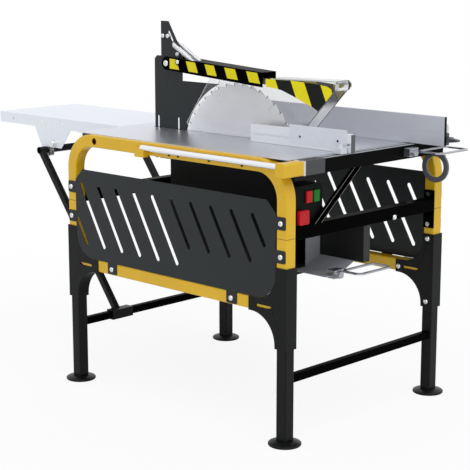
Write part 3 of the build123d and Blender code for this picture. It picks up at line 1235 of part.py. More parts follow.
arm_face = ARM_WIDTH / 2 + SIDE_GAP
arm_inside = ARM_WIDTH / 2 - ARM_SHEET - SIDE_GAP
pivot_bolt = make_bolt(PIVOT_R, PIVOT_HEAD_R, PIVOT_HEAD, 2 * arm_face + PIVOT_HEAD)
adjust_bolt = make_bolt(ADJUST_BOLT_R, ADJUST_HEAD_R, ADJUST_HEAD, KNIFE + ADJUST_HEAD)
with BuildPart() as guard_bolts:
    with Locations(Location((BLADE_X - arm_face, PIVOT_Y, PIVOT_Z), (0, -90, 0))):
        add(pivot_bolt)
    with BuildSketch(Plane.YZ.offset(BLADE_X + arm_face)):
        with Locations((PIVOT_Y, PIVOT_Z)):
            RegularPolygon(PIVOT_HEAD_R, 6)
    extrude(amount=PIVOT_HEAD)
    for side in SIDES.values():
        rod((BLADE_X + side * KNIFE / 2, BLADE_X + side * arm_inside), PIVOT_Y, PIVOT_Z, PIVOT_SPACER_R)
    for y, z in ADJUST_BOLTS:
        with Locations(Location((KNIFE_LEFT, y, z), (0, -90, 0))):
            add(adjust_bolt)
    with BuildSketch(Plane.YZ.offset(KNIFE_RIGHT)):
        with Locations(*ADJUST_BOLTS):
            RegularPolygon(ADJUST_HEAD_R, 6)
    extrude(amount=ADJUST_HEAD)
    pin_half = HOOK_OFFSET + SPRING_WIRE / 2 + SPRING_PIN_PROUD
    rod((BLADE_X - pin_half, BLADE_X + pin_half), *SPRING_TOP, SPRING_PIN_R)
keep(guard_bolts, "guard_bolts")

# Guard arm
ARM_REAR_TOP = PIVOT_Z + ARM_END_R
ARM_REAR_FOOT = PIVOT_Z - ARM_END_R


def arm_top(y):
    """Height of the arm's upper edge at a place along Y."""
    return ARM_REAR_TOP - (PIVOT_Y - y) * ARM_DROP / ARM_LENGTH


def arm_foot(y):
    """Height of the arm's lower edge at a place along Y."""
    return ARM_REAR_FOOT - (PIVOT_Y - y) * (ARM_DROP + ARM_TAPER) / ARM_LENGTH


with BuildPart() as guard_arm:
    for wall_x in (ARM_LEFT, ARM_LEFT + ARM_WIDTH - ARM_SHEET):
        with BuildSketch(Plane.YZ.offset(wall_x)):
            with BuildLine():
                Polyline((PIVOT_Y, ARM_REAR_TOP), (ARM_FRONT, arm_top(ARM_FRONT)),
                         (ARM_FRONT, arm_foot(ARM_FRONT)), (PIVOT_Y, ARM_REAR_FOOT))
                ThreePointArc((PIVOT_Y, ARM_REAR_FOOT), (PIVOT_Y + ARM_END_R, PIVOT_Z),
                              (PIVOT_Y, ARM_REAR_TOP))
            make_face()
            with Locations((PIVOT_Y, PIVOT_Z)):
                Circle(PIVOT_R + RUN_GAP, mode=Mode.SUBTRACT)
        extrude(amount=ARM_SHEET)
    with BuildSketch(Plane.YZ.offset(ARM_LEFT)):
        with BuildLine():
            Polyline((ARM_WEB_REAR, arm_top(ARM_WEB_REAR)), (ARM_FRONT, arm_top(ARM_FRONT)),
                     (ARM_FRONT, arm_top(ARM_FRONT) - ARM_SHEET),
                     (ARM_WEB_REAR, arm_top(ARM_WEB_REAR) - ARM_SHEET), close=True)
        make_face()
    extrude(amount=ARM_WIDTH)
    block((KNIFE_LEFT, KNIFE_RIGHT), (ARM_WEB_REAR - ARM_LUG, SPRING_FOOT[0] + 2 * SPRING_PIN_R),
          (SPRING_FOOT[1] - ARM_LUG / 2, arm_top(ARM_WEB_REAR) - ARM_SHEET))
    pin_half = HOOK_OFFSET - SPRING_WIRE / 2 - SPRING_PIN_GAP
    rod((BLADE_X - pin_half, BLADE_X + pin_half), *SPRING_FOOT, SPRING_PIN_R)
    rod((ARM_LEFT - PIVOT_HEAD, ARM_LEFT + ARM_WIDTH + PIVOT_HEAD), ARM_BOLT_Y, ARM_BOLT_Z, PIVOT_R)
    for face in (ARM_LEFT - PIVOT_HEAD, ARM_LEFT + ARM_WIDTH):
        rod((face, face + PIVOT_HEAD), ARM_BOLT_Y, ARM_BOLT_Z, PIVOT_HEAD_R)
keep(guard_arm, "guard_arm")

# Clear hood inside the arm's walls
HOOD_LEFT = ARM_LEFT + ARM_SHEET
HOOD_WIDTH = ARM_WIDTH - 2 * ARM_SHEET
nose_foot = HOOD_TOP_NOSE - 2 * HOOD_NOSE_R
toe_run = HOOD_TOE_Y - HOOD_NOSE
toe_rise = nose_foot - HOOD_BOTTOM
toe_length = math.hypot(toe_run, toe_rise)
shift_y = HOOD_WALL * toe_rise / toe_length
shift_z = HOOD_WALL * toe_run / toe_length
with BuildPart() as guard_hood:
    with BuildSketch(Plane.YZ.offset(HOOD_LEFT)):
        with BuildLine():
            Polyline((HOOD_NOSE, nose_foot), (HOOD_TOE_Y, HOOD_BOTTOM), (HOOD_HEEL[0], HOOD_BOTTOM),
                     (HOOD_HEEL[1], HOOD_BOTTOM + HOOD_HEEL_RISE), HOOD_REAR,
                     (HOOD_REAR[0], HOOD_TOP_REAR), (HOOD_NOSE, HOOD_TOP_NOSE))
            RadiusArc((HOOD_NOSE, HOOD_TOP_NOSE), (HOOD_NOSE, nose_foot), -HOOD_NOSE_R)
        make_face()
    extrude(amount=HOOD_WIDTH)
    with BuildSketch(Plane.YZ.offset(HOOD_LEFT + HOOD_WALL)):
        with BuildLine():
            Polyline((HOOD_NOSE, HOOD_TOP_NOSE - HOOD_WALL), (HOOD_REAR[0], HOOD_TOP_REAR - HOOD_WALL),
                     (HOOD_HEEL[1] + HOOD_WALL, HOOD_TOP_REAR - HOOD_WALL),
                     (HOOD_HEEL[1] + HOOD_WALL, HOOD_BOTTOM - HOOD_WALL),
                     (HOOD_TOE_Y + shift_y + 2 * HOOD_WALL, HOOD_BOTTOM - HOOD_WALL),
                     (HOOD_TOE_Y + shift_y, HOOD_BOTTOM + shift_z),
                     (HOOD_NOSE + shift_y, nose_foot + shift_z), close=True)
        make_face()
    extrude(amount=HOOD_WIDTH - 2 * HOOD_WALL, mode=Mode.SUBTRACT)
keep(guard_hood, "guard_hood")


# Tension springs: a helix of half-turn biarcs between two hooks
def biarc(start, start_dir, stop, stop_dir):
    """Two tangent arcs between two points with given unit directions."""
    chord = stop - start
    both = start_dir + stop_dir
    square = 2 * (1 - start_dir.dot(stop_dir))
    linear = chord.dot(both)
    reach = (-linear + math.sqrt(linear ** 2 + square * chord.dot(chord))) / square
    first = start + start_dir * reach
    second = stop - stop_dir * reach
    joint = (first + second) * 0.5
    for begin, corner, finish in ((start, first, joint), (joint, second, stop)):
        middle = (begin + finish) * 0.5
        half = (finish - begin).length / 2
        rise = corner - middle
        sag = half * math.tan(math.atan2(rise.length, half) / 2)
        ThreePointArc(begin, middle + rise.normalized() * sag, finish)


def make_spring(side):
    """One tension spring, hooked on the post's pin and running down to the pin in the arm."""
    top = Vector(BLADE_X + side * SPRING_OFFSET, *SPRING_TOP)
    foot = Vector(BLADE_X + side * SPRING_OFFSET, *SPRING_FOOT)
    along = (foot - top).normalized()
    across = Vector(-side, 0, 0)
    upright = along.cross(across)
    pitch = ((foot - top).length - 2 * HOOK_R) / SPRING_TURNS
    rise = pitch / (2 * math.pi)
    slant = math.hypot(SPRING_R, rise)

    def place(turn):
        angle = 2 * math.pi * turn
        out = across * math.cos(angle) + upright * math.sin(angle)
        return top + along * (HOOK_R + pitch * turn) + out * SPRING_R

    def heading(turn):
        if turn in (0, SPRING_TURNS):
            return upright
        angle = 2 * math.pi * turn
        sweep_dir = upright * math.cos(angle) - across * math.sin(angle)
        return (sweep_dir * SPRING_R + along * rise) * (1 / slant)

    def hook(pin, end, degrees):
        angle = math.radians(degrees)
        return pin + across * SPRING_R + (along * math.cos(angle) - upright * math.sin(angle)) * end * HOOK_R

    trail = [hook(top, 1, HOOK_SWEEP - step) for step in range(0, HOOK_SWEEP, 10)]
    trail += [place(step / 40) for step in range(121)]
    least = min((far - near).length for number, near in enumerate(trail) for far in trail[number + 14:])
    print(f"spring on side {side}: least gap to itself {least - SPRING_WIRE:.2f} mm")
    with BuildPart() as spring:
        with BuildLine() as path:
            ThreePointArc(hook(top, 1, HOOK_SWEEP), hook(top, 1, HOOK_SWEEP / 2), place(0))
            for number in range(2 * SPRING_TURNS):
                begin = number / 2
                finish = begin + 0.5
                biarc(place(begin), heading(begin), place(finish), heading(finish))
            ThreePointArc(place(SPRING_TURNS), hook(foot, -1, HOOK_SWEEP / 2), hook(foot, -1, HOOK_SWEEP))
        with BuildSketch(Plane(path.line @ 0, z_dir=path.line % 0)):
            Circle(SPRING_WIRE / 2)
        sweep(path=path.line)
    return spring


keep(make_spring(-1), "left_spring")
keep(make_spring(1), "right_spring")

# Rip fence
with BuildPart() as rip_fence:
    block((RIP_X, RIP_RIGHT), (RIP_FRONT, RIP_REAR), (RIP_FOOT, RIP_FOOT + RIP_HEIGHT))
    block((RIP_X + RIP_WALL, RIP_RIGHT - RIP_WALL), (RIP_FRONT + RIP_WALL, RIP_REAR),
          (RIP_FOOT + RIP_WALL, RIP_FOOT + RIP_HEIGHT - RIP_WALL), mode=Mode.SUBTRACT)
keep(rip_fence, "rip_fence")


def rail_foot(x, top):
    """Stud and sliding nut in the rail's T-slot, added to the open part."""
    rod_z((RING_TOP - NECK_DEPTH - NUT_TOP_GAP, top), x, SLOT_Y, RIP_STUD_R)
    block((x - RIP_NUT_LENGTH / 2, x + RIP_NUT_LENGTH / 2),
          (SLOT_Y - HEAD_WIDTH / 2 + SIDE_GAP, SLOT_Y + HEAD_WIDTH / 2 - SIDE_GAP),
          (RING_TOP - NECK_DEPTH - HEAD_DEPTH + NUT_TOP_GAP, RING_TOP - NECK_DEPTH - NUT_TOP_GAP))


with BuildPart() as rip_bracket:
    bracket_right = RIP_RIGHT + RIP_BRACKET_WIDTH
    block((RIP_RIGHT, bracket_right), (RIP_BRACKET_FRONT, TABLE_FRONT), (RIP_FOOT, RIP_BRACKET_TOP))
    fillet(rip_bracket.edges().filter_by(Axis.Y).group_by(Axis.Z)[-1], RIP_BRACKET_EDGE)
    for ear_x in (RIP_RIGHT, bracket_right - RIP_EAR):
        block((ear_x, ear_x + RIP_EAR), (RIP_EAR_FRONT, RIP_BRACKET_FRONT),
              (LEVER_Z - LEVER_HUB_R, LEVER_Z + LEVER_HUB_R))
    rod((RIP_RIGHT, bracket_right), LEVER_Y, LEVER_Z, LEVER_PIN_R)
    rail_foot(RIP_STUD_X, RIP_FOOT)
    stem_bore = (RIP_BRACKET_TOP - KNOB_STEM - SIDE_GAP, RIP_BRACKET_TOP)
    rod_z(stem_bore, RIP_STUD_X, KNOB_Y, KNOB_STEM_R + RUN_GAP, mode=Mode.SUBTRACT)
keep(rip_bracket, "rip_bracket")

with BuildPart() as rip_lever:
    lever_left = RIP_STUD_X - LEVER_WIDTH / 2
    with BuildSketch(Plane.YZ.offset(lever_left)):
        with Locations((LEVER_Y, LEVER_Z)):
            Circle(LEVER_HUB_R)
        with BuildLine():
            Polyline((LEVER_Y, LEVER_Z + LEVER_HUB_R), (LEVER_TIP, LEVER_Z + LEVER_TIP_R),
                     (LEVER_TIP, LEVER_Z - LEVER_TIP_R), (LEVER_Y, LEVER_Z - LEVER_HUB_R), close=True)
        make_face()
        with Locations((LEVER_Y, LEVER_Z)):
            Circle(LEVER_PIN_R + RUN_GAP, mode=Mode.SUBTRACT)
    extrude(amount=LEVER_WIDTH)
keep(rip_lever, "rip_lever")

with BuildPart() as rip_knob:
    knob_foot = RIP_BRACKET_TOP + SIDE_GAP
    rod_z((knob_foot, knob_foot + KNOB_HEIGHT), RIP_STUD_X, KNOB_Y, KNOB_R)
    fillet(rip_knob.edges().filter_by(GeomType.CIRCLE), KNOB_ROUND)
    rod_z((RIP_BRACKET_TOP - KNOB_STEM, RIP_BRACKET_TOP + KNOB_STEM), RIP_STUD_X, KNOB_Y, KNOB_STEM_R)
keep(rip_knob, "rip_knob")

# Low fence
groove_z = RIP_FOOT + LOW_GROOVE_RISE
low_rooms = ((RIP_FOOT + LOW_WALL, groove_z - LOW_GROOVE / 2 - LOW_WALL),
             (groove_z + LOW_GROOVE / 2 + LOW_WALL, RIP_FOOT + LOW_HEIGHT - LOW_WALL))
with BuildPart() as low_fence:
    with BuildSketch(Plane.XZ.offset(-LOW_FRONT)):
        with Locations((LOW_X + LOW_THICK / 2, RIP_FOOT + LOW_HEIGHT / 2)):
            Rectangle(LOW_THICK, LOW_HEIGHT)
        with Locations((LOW_X + LOW_GROOVE_DEPTH / 2, groove_z)):
            Rectangle(LOW_GROOVE_DEPTH, LOW_GROOVE, mode=Mode.SUBTRACT)
        for room_foot, room_top in low_rooms:
            with Locations((LOW_X + LOW_THICK / 2, (room_foot + room_top) / 2)):
                Rectangle(LOW_THICK - 2 * LOW_WALL, room_top - room_foot, mode=Mode.SUBTRACT)
    extrude(amount=-LOW_LENGTH)
keep(low_fence, "low_fence")

LOW_NEAR = LOW_X - LOW_PLATE
with BuildPart() as low_plate:
    block((LOW_NEAR, LOW_X), (LOW_PLATE_FRONT, LOW_PLATE_REAR),
          (LOW_PLATE_BOTTOM, LOW_PLATE_BOTTOM + LOW_PLATE_HEIGHT))
    for y in LOW_SCREWS_Y:
        rod((LOW_NEAR - LOW_SCREW_HEAD, LOW_NEAR), y, LOW_SCREW_Z, LOW_SCREW_R)
    clamp_x = LOW_NEAR - LOW_CLAMP_WIDTH / 2
    block((LOW_NEAR - LOW_CLAMP_WIDTH, LOW_NEAR),
          (SLOT_Y - LOW_CLAMP_LENGTH / 2, SLOT_Y + LOW_CLAMP_LENGTH / 2), (RIP_FOOT, LOW_CLAMP_TOP))
    rod_z((LOW_CLAMP_TOP, LOW_CLAMP_TOP + LOW_GRIP), clamp_x, SLOT_Y, LOW_GRIP_R)
    rail_foot(clamp_x, RIP_FOOT)
keep(low_plate, "low_fence_plate")

# Switch
with BuildPart() as switch_box:
    block((SWITCH_LEFT, SWITCH_RIGHT), (SWITCH_FRONT, SWITCH_BACK), (SWITCH_FOOT, SWITCH_TOP))
    fillet(switch_box.edges().filter_by(Axis.Y), SWITCH_EDGE)
    block((SWITCH_LEFT + SWITCH_WALL, SWITCH_RIGHT - SWITCH_WALL),
          (SWITCH_FRONT + SWITCH_WALL, SWITCH_BACK - SWITCH_WALL),
          (SWITCH_FOOT + SWITCH_WALL, SWITCH_TOP - SWITCH_WALL), mode=Mode.SUBTRACT)
    with BuildSketch(Plane.XZ.offset(-SWITCH_FRONT)):
        with Locations((GREEN_X, BUTTON_Z), (RED_X, BUTTON_Z)):
            Rectangle(BUTTON_WIDTH + 2 * BUTTON_GAP, BUTTON_HEIGHT + 2 * BUTTON_GAP)
        with Locations((FLAP_X, FLAP_Z)):
            Rectangle(FLAP_STEM + 2 * BUTTON_GAP, FLAP_STEM + 2 * BUTTON_GAP)
    extrude(amount=-SWITCH_WALL, mode=Mode.SUBTRACT)
    block((-INNER_X, SWITCH_LEFT), (-END_Y + SWITCH_SETBACK, -END_Y + TUBE - TUBE_EDGE),
          (BEAM_PLATE_TOP + SIDE_GAP, SWITCH_TOP - SWITCH_EDGE))
keep(switch_box, "switch_box")

with BuildPart() as plug_inlet:
    rod_y((SWITCH_BACK, SWITCH_BACK + INLET_DEPTH), INLET_X, INLET_Z, INLET_R)
    rod_y((SWITCH_BACK + INLET_LID, SWITCH_BACK + INLET_DEPTH), INLET_X, INLET_Z, INLET_BORE_R,
          mode=Mode.SUBTRACT)
    with BuildSketch(Plane.XZ.offset(-SWITCH_BACK)):
        with Locations((INLET_X, INLET_Z)):
            with PolarLocations(INLET_PIN_RING, 3, start_angle=90):
                Circle(INLET_PIN_R)
    extrude(amount=-INLET_PIN)
keep(plug_inlet, "plug_inlet")


def make_button(x):
    """A push button with a lip that keeps it in the switch box."""
    inside = SWITCH_FRONT + SWITCH_WALL + BUTTON_GAP
    half_x = BUTTON_WIDTH / 2
    half_z = BUTTON_HEIGHT / 2
    lip_x = half_x + BUTTON_LIP
    lip_z = half_z + BUTTON_LIP
    with BuildPart() as button:
        block((x - half_x, x + half_x), (SWITCH_FRONT - BUTTON_PROUD, inside + BUTTON_LIP_THICK),
              (BUTTON_Z - half_z, BUTTON_Z + half_z))
        fillet(button.faces().sort_by(Axis.Y)[0].edges(), BUTTON_EDGE)
        block((x - lip_x, x + lip_x), (inside, inside + BUTTON_LIP_THICK),
              (BUTTON_Z - lip_z, BUTTON_Z + lip_z))
    return button


keep(make_button(GREEN_X), "green_button")
keep(make_button(RED_X), "red_button")

with BuildPart() as stop_flap:
    inside = SWITCH_FRONT + SWITCH_WALL + BUTTON_GAP
    flap_front = SWITCH_FRONT - FLAP_PROUD
    block((FLAP_X - FLAP_WIDTH / 2, FLAP_X + FLAP_WIDTH / 2), (flap_front, flap_front + FLAP_THICK),
          (FLAP_Z - FLAP_HEIGHT / 2, FLAP_Z + FLAP_HEIGHT / 2))
    fillet(stop_flap.edges().filter_by(Axis.Y), FLAP_EDGE)
    fillet(stop_flap.faces().sort_by(Axis.Y)[0].edges(), FLAP_ROUND)
    half_stem = FLAP_STEM / 2
    block((FLAP_X - half_stem, FLAP_X + half_stem), (flap_front + FLAP_THICK, inside + BUTTON_LIP_THICK),
          (FLAP_Z - half_stem, FLAP_Z + half_stem))
    half_lip = half_stem + BUTTON_LIP
    block((FLAP_X - half_lip, FLAP_X + half_lip), (inside, inside + BUTTON_LIP_THICK),
          (FLAP_Z - half_lip, FLAP_Z + half_lip))
keep(stop_flap, "stop_flap")


# Hoops on their clamp blocks, the knobs and the eye plate
def make_hoop(corner, depth, z, block_limits, knob_place, sheet=None):
    """Flat bar bent into a rounded hoop on a clamp block, which may grip a sheet and takes a knob's stem."""
    left, rear = corner
    x, face_y, knob_z = knob_place
    with BuildPart() as hoop:
        block(*block_limits)
        fillet(hoop.edges().filter_by(Axis.Y), CLAMP_BLOCK_EDGE)
        with BuildSketch(Plane.XY.offset(z)):
            with Locations((left + HOOP_LENGTH / 2, rear - depth / 2)):
                RectangleRounded(HOOP_LENGTH, depth, HOOP_CORNER)
                RectangleRounded(HOOP_LENGTH - 2 * HOOP_BAR, depth - 2 * HOOP_BAR, HOOP_CORNER - HOOP_BAR,
                                 mode=Mode.SUBTRACT)
        extrude(amount=HOOP_THICK)
        rod_y((face_y, face_y + HOOP_STEM + SIDE_GAP), x, knob_z, HOOP_STEM_R + RUN_GAP, mode=Mode.SUBTRACT)
        if sheet:
            block(*sheet, mode=Mode.SUBTRACT)
    return hoop


def hoop_knob(x, face_y, z):
    """A lobed knob with its stem in the clamp block."""
    with BuildPart() as knob:
        with BuildSketch(Plane.XZ.offset(-(face_y - SIDE_GAP))):
            with Locations((x, z)):
                Circle(HOOP_KNOB_R - HOOP_KNOB_LOBE_R / 2)
                with PolarLocations(HOOP_KNOB_R - HOOP_KNOB_LOBE_R, HOOP_KNOB_LOBES):
                    Circle(HOOP_KNOB_LOBE_R)
        extrude(amount=HOOP_KNOB)
        rod_y((face_y - HOOP_STEM, face_y + HOOP_STEM), x, z, HOOP_STEM_R)
    return knob


upper_right = UPPER_HOOP_LEFT + HOOP_OVERLAP
upper_z = UPPER_HOOP_Z + HOOP_THICK / 2
upper_front = RAIL_FRONT - CLAMP_BLOCK_DEPTH
upper_block = ((upper_right - CLAMP_BLOCK_LENGTH, upper_right), (upper_front, RAIL_FRONT),
               (upper_z - CLAMP_BLOCK_HEIGHT / 2, upper_z + CLAMP_BLOCK_HEIGHT / 2))
upper_knob = (upper_right - CLAMP_BLOCK_LENGTH / 2 - HOOP_OVERLAP, upper_front, upper_z)
upper_corner = (UPPER_HOOP_LEFT, RAIL_FRONT - HOOP_BAR)
keep(make_hoop(upper_corner, UPPER_HOOP_DEPTH, UPPER_HOOP_Z, upper_block, upper_knob), "upper_hoop")
keep(hoop_knob(*upper_knob), "upper_hoop_knob")

lower_right = LOWER_HOOP_LEFT + HOOP_OVERLAP
lower_z = CHUTE_FLOOR + LOWER_BLOCK_RISE
lower_front = LOWER_HOOP_REAR - LOWER_BLOCK_GRIP
lower_block = ((lower_right - CLAMP_BLOCK_LENGTH, lower_right), (lower_front, CHUTE_FRONT + LOWER_BLOCK_GRIP),
               (lower_z - CLAMP_BLOCK_HEIGHT / 2, lower_z + CLAMP_BLOCK_HEIGHT / 2))
lower_knob = (lower_right - CLAMP_BLOCK_LENGTH / 2 - HOOP_OVERLAP, lower_front, lower_z)
lower_corner = (LOWER_HOOP_LEFT, LOWER_HOOP_REAR)
chute_sheet = ((CHUTE_LEFT, CHUTE_STEP_X), (CHUTE_FRONT, CHUTE_FRONT + CLAMP_BLOCK_DEPTH),
               (CHUTE_FLOOR, CHUTE_FLOOR + CHUTE_SHEET))
keep(make_hoop(lower_corner, LOWER_HOOP_DEPTH, LOWER_HOOP_Z, lower_block, lower_knob, chute_sheet),
     "lower_hoop")
keep(hoop_knob(*lower_knob), "lower_hoop_knob")

with BuildPart() as eye_plate:
    with BuildSketch(Plane.YZ.offset(EYE_X - EYE_THICK / 2)):
        with Locations((EYE_Y, EYE_Z)):
            Circle(EYE_R)
        with Locations((EYE_Y, (EYE_Z + RAIL_BOTTOM) / 2)):
            Rectangle(EYE_TAB, RAIL_BOTTOM - EYE_Z)
        with Locations((EYE_Y, RAIL_BOTTOM + EYE_R)):
            Rectangle(3 * EYE_R, 2 * EYE_R, mode=Mode.SUBTRACT)
        with Locations((EYE_Y, EYE_Z)):
            Circle(EYE_HOLE_R, mode=Mode.SUBTRACT)
    extrude(amount=EYE_THICK)
keep(eye_plate, "eye_plate")

# Outfeed extension
with BuildPart() as extension:
    block((EXT_LEFT, EXT_RIGHT), (TABLE_REAR, EXT_REAR), (EXT_FOOT, TABLE_HEIGHT))
    fillet(extension.edges().filter_by(Axis.Z).group_by(Axis.Y)[-1], EXT_CORNER)
    block((EXT_LEFT + EXT_SHEET, EXT_RIGHT - EXT_SHEET), (TABLE_REAR + EXT_SHEET, EXT_REAR - EXT_SHEET),
          (EXT_FOOT, TABLE_HEIGHT - EXT_SHEET), mode=Mode.SUBTRACT)
    for behind in EXT_HOLES:
        rod((EXT_LEFT, EXT_RIGHT), TABLE_REAR + behind, (EXT_FOOT + TABLE_HEIGHT) / 2, EXT_HOLE_R,
            mode=Mode.SUBTRACT)
    ear = [(TABLE_REAR + behind, EXT_FOOT) for behind in EAR_TOP]
    ear += [(TABLE_REAR + behind, EAR_FOOT_Z) for behind in reversed(EAR_FOOT)]
    for x in (EXT_LEFT, EXT_RIGHT - EXT_SHEET):
        with BuildSketch(Plane.YZ.offset(x)):
            with BuildLine():
                Polyline(*ear, close=True)
            make_face()
        extrude(amount=EXT_SHEET)
keep(extension, "extension_table")

with BuildPart() as cross_bar:
    rod(CROSS_ENDS, CROSS_Y, CROSS_Z, CROSS_R)
    rod(CROSS_ENDS, CROSS_Y, CROSS_Z, CROSS_R - CROSS_WALL, mode=Mode.SUBTRACT)
keep(cross_bar, "extension_cross_bar")

with BuildPart() as tube_clamps:
    rod((EXT_LEFT - GRIP_KNOB, EXT_LEFT), GRIP_KNOB_Y, GRIP_KNOB_Z, GRIP_KNOB_R)
    fillet(tube_clamps.faces().sort_by(Axis.X)[0].edges(), GRIP_KNOB_ROUND)
    for side, x in zip((1, -1), (EXT_LEFT + EXT_SHEET, EXT_RIGHT - EXT_SHEET)):
        with BuildSketch(Plane.YZ.offset(x)):
            with Locations((CROSS_Y, CROSS_Z + GRIP_LIP / 2)):
                RectangleRounded(GRIP_LENGTH, GRIP_HEIGHT + GRIP_LIP, GRIP_EDGE)
            with Locations((CROSS_Y, CROSS_Z)):
                Circle(CROSS_R + RUN_GAP, mode=Mode.SUBTRACT)
        extrude(amount=side * GRIP_DEPTH)
keep(tube_clamps, "tube_clamps")

with BuildPart() as struts:
    for x in STRUT_X:
        foot = Vector(x, POST_Y, BAR_Z)
        head = Vector(x, CROSS_Y, CROSS_Z)
        with BuildSketch(Plane(foot, x_dir=(1, 0, 0), z_dir=head - foot)):
            Rectangle(STRUT, STRUT)
            Rectangle(STRUT - 2 * STRUT_WALL, STRUT - 2 * STRUT_WALL, mode=Mode.SUBTRACT)
        extrude(amount=(head - foot).length)
        rod((x - STRUT, x + STRUT), CROSS_Y, CROSS_Z, CROSS_R, mode=Mode.SUBTRACT)
    for x, (left_reach, right_reach) in zip(STRUT_X, SLEEVE_REACH):
        limits = (x - left_reach, x + right_reach)
        block(limits, (POST_Y - STRUT_SLEEVE / 2, POST_Y + STRUT_SLEEVE / 2),
              (BAR_Z - STRUT_SLEEVE / 2, BAR_Z + STRUT_SLEEVE / 2))
        block(limits, (POST_Y - BAR / 2, POST_Y + BAR / 2), (BAR_Z - BAR / 2, BAR_Z + BAR / 2),
              mode=Mode.SUBTRACT)
keep(struts, "extension_struts")
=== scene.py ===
"""Studio scene of a construction table saw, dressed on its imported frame."""

import logging
import math
from abc import ABC, abstractmethod
from dataclasses import dataclass, field
from enum import Enum

import bmesh
import bpy
from mathutils import Matrix, Vector


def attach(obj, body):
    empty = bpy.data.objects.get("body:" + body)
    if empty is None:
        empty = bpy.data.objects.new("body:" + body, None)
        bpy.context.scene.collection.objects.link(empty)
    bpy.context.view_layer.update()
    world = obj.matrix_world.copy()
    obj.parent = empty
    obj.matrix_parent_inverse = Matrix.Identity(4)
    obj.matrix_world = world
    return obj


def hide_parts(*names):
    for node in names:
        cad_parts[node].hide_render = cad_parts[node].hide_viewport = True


LOG = logging.getLogger("table_saw")
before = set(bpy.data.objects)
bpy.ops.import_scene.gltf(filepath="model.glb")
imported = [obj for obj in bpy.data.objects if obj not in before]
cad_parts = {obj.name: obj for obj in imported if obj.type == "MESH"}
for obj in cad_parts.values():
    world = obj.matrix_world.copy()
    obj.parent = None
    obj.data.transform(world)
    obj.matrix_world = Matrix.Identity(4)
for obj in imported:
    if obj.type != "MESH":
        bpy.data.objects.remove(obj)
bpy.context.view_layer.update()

Tree = bpy.types.NodeTree
Node = bpy.types.Node
Socket = bpy.types.NodeSocket
Material = bpy.types.Material
Mesh = bmesh.types.BMesh
Pair = tuple[float, float]
Triple = tuple[float, float, float]

MM_PER_METRE = 1000
# Where most values of a noise lie
NOISE_SPAN = {"From Min": 0.3, "From Max": 0.7}
# Blender tells these sockets of its Mix node apart by number alone
MIX_FACTOR = 0
MIX_NUMBERS = (2, 3)
MIX_COLOURS = (6, 7)
MIXED_NUMBER = 0
MIXED_COLOUR = 2


class Body(Enum):
    """Moving bodies of the saw that new pieces ride on."""

    FRAME = "frame"
    ROTOR = "rotor"
    GUARD = "guard"
    SPRINGS = "springs"
    RIP_FENCE = "rip_fence"
    LOW_FENCE = "low_fence"


class Slot(Enum):
    """Material slots of the record."""

    BLACK_PAINT = "black_paint"
    YELLOW_PAINT = "yellow_paint"
    ZINC_STEEL = "zinc_steel"
    SPRING_STEEL = "spring_steel"
    BLADE_STEEL = "blade_steel"
    BLACK_PLASTIC = "black_plastic"


class Side(Enum):
    """The two sides of a paired piece, seen by the operator."""

    LEFT = -1
    RIGHT = 1


class Region(Enum):
    """Part of a piece that has its second colour: the axis across the border, and the test."""

    RIGHT = (0, "GREATER_THAN")
    LEFT = (0, "LESS_THAN")
    TOP = (2, "GREATER_THAN")


def metres(size_mm: float) -> float:
    """Turn millimetres into metres."""
    return size_mm / MM_PER_METRE


def per_mm(size_mm: float) -> float:
    """Texture scale whose features are about this many millimetres wide."""
    return MM_PER_METRE / size_mm


def middle_of(*nodes: str) -> Vector:
    """Find the middle of the box around CAD nodes.

    Args:
        nodes: Names of the CAD nodes.

    Returns:
        The middle in the shared frame.
    """
    points = [vert.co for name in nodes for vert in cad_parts[name].data.vertices]
    low = Vector([min(point[axis] for point in points) for axis in range(3)])
    high = Vector([max(point[axis] for point in points) for axis in range(3)])
    return (low + high) / 2


# Middle of the two rings in millimetres, rounded to a micrometre
RING_X, RING_Y = (round(part * MM_PER_METRE, 3) for part in middle_of("left_ring", "right_ring").xy)


def spot(x: float, y: float, z: float) -> Vector:
    """Place a point given in millimetres from the floor under the middle of the two rings.

    Args:
        x: Millimetres to the operator's right.
        y: Millimetres along the feed.
        z: Millimetres above the floor.

    Returns:
        The point in metres in the shared frame.
    """
    return Vector((x + RING_X, y + RING_Y, z)) / MM_PER_METRE


# Middle plane of the blade, the riving knife and the guard, and the middle of the blade
BLADE_X = -80.0
ARBOR = spot(BLADE_X, -20.0, 772.0)


def linear(code: str) -> tuple[float, float, float, float]:
    """Turn an sRGB hex colour into linear light by the standard curve.

    Args:
        code: Six hex digits after a hash sign.

    Returns:
        Red, green, blue and an alpha of one.
    """
    parts = [int(code[place:place + 2], 16) / 255 for place in (1, 3, 5)]
    light = [part / 12.92 if part <= 0.04045 else ((part + 0.055) / 1.055) ** 2.4 for part in parts]
    return light[0], light[1], light[2], 1.0


def add(tree: Tree, kind: str, settings: dict | None = None, links: dict | None = None) -> Node:
    """Add one shader node with its settings and links.

    Args:
        tree: Node tree that takes the node.
        kind: Blender's name for the kind of node, without ShaderNode in front.
        settings: Input values by socket, or properties by name.
        links: Output sockets by the input that they feed.

    Returns:
        The new node.
    """
    node = tree.nodes.new("ShaderNode" + kind)
    for key, value in (settings or {}).items():
        if isinstance(key, int) or key in node.inputs:
            node.inputs[key].default_value = value
        else:
            setattr(node, key, value)
    for key, socket in (links or {}).items():
        tree.links.new(socket, node.inputs[key])
    return node


def open_material(name: str) -> tuple[Material, Tree, Node, Socket]:
    """Open a new material.

    Args:
        name: The material's name.

    Returns:
        The material, its tree, its shader and its object coordinates.
    """
    material = bpy.data.materials.new(name)
    material.use_nodes = True
    tree = material.node_tree
    place = add(tree, "TexCoord").outputs["Object"]
    return material, tree, tree.nodes["Principled BSDF"], place


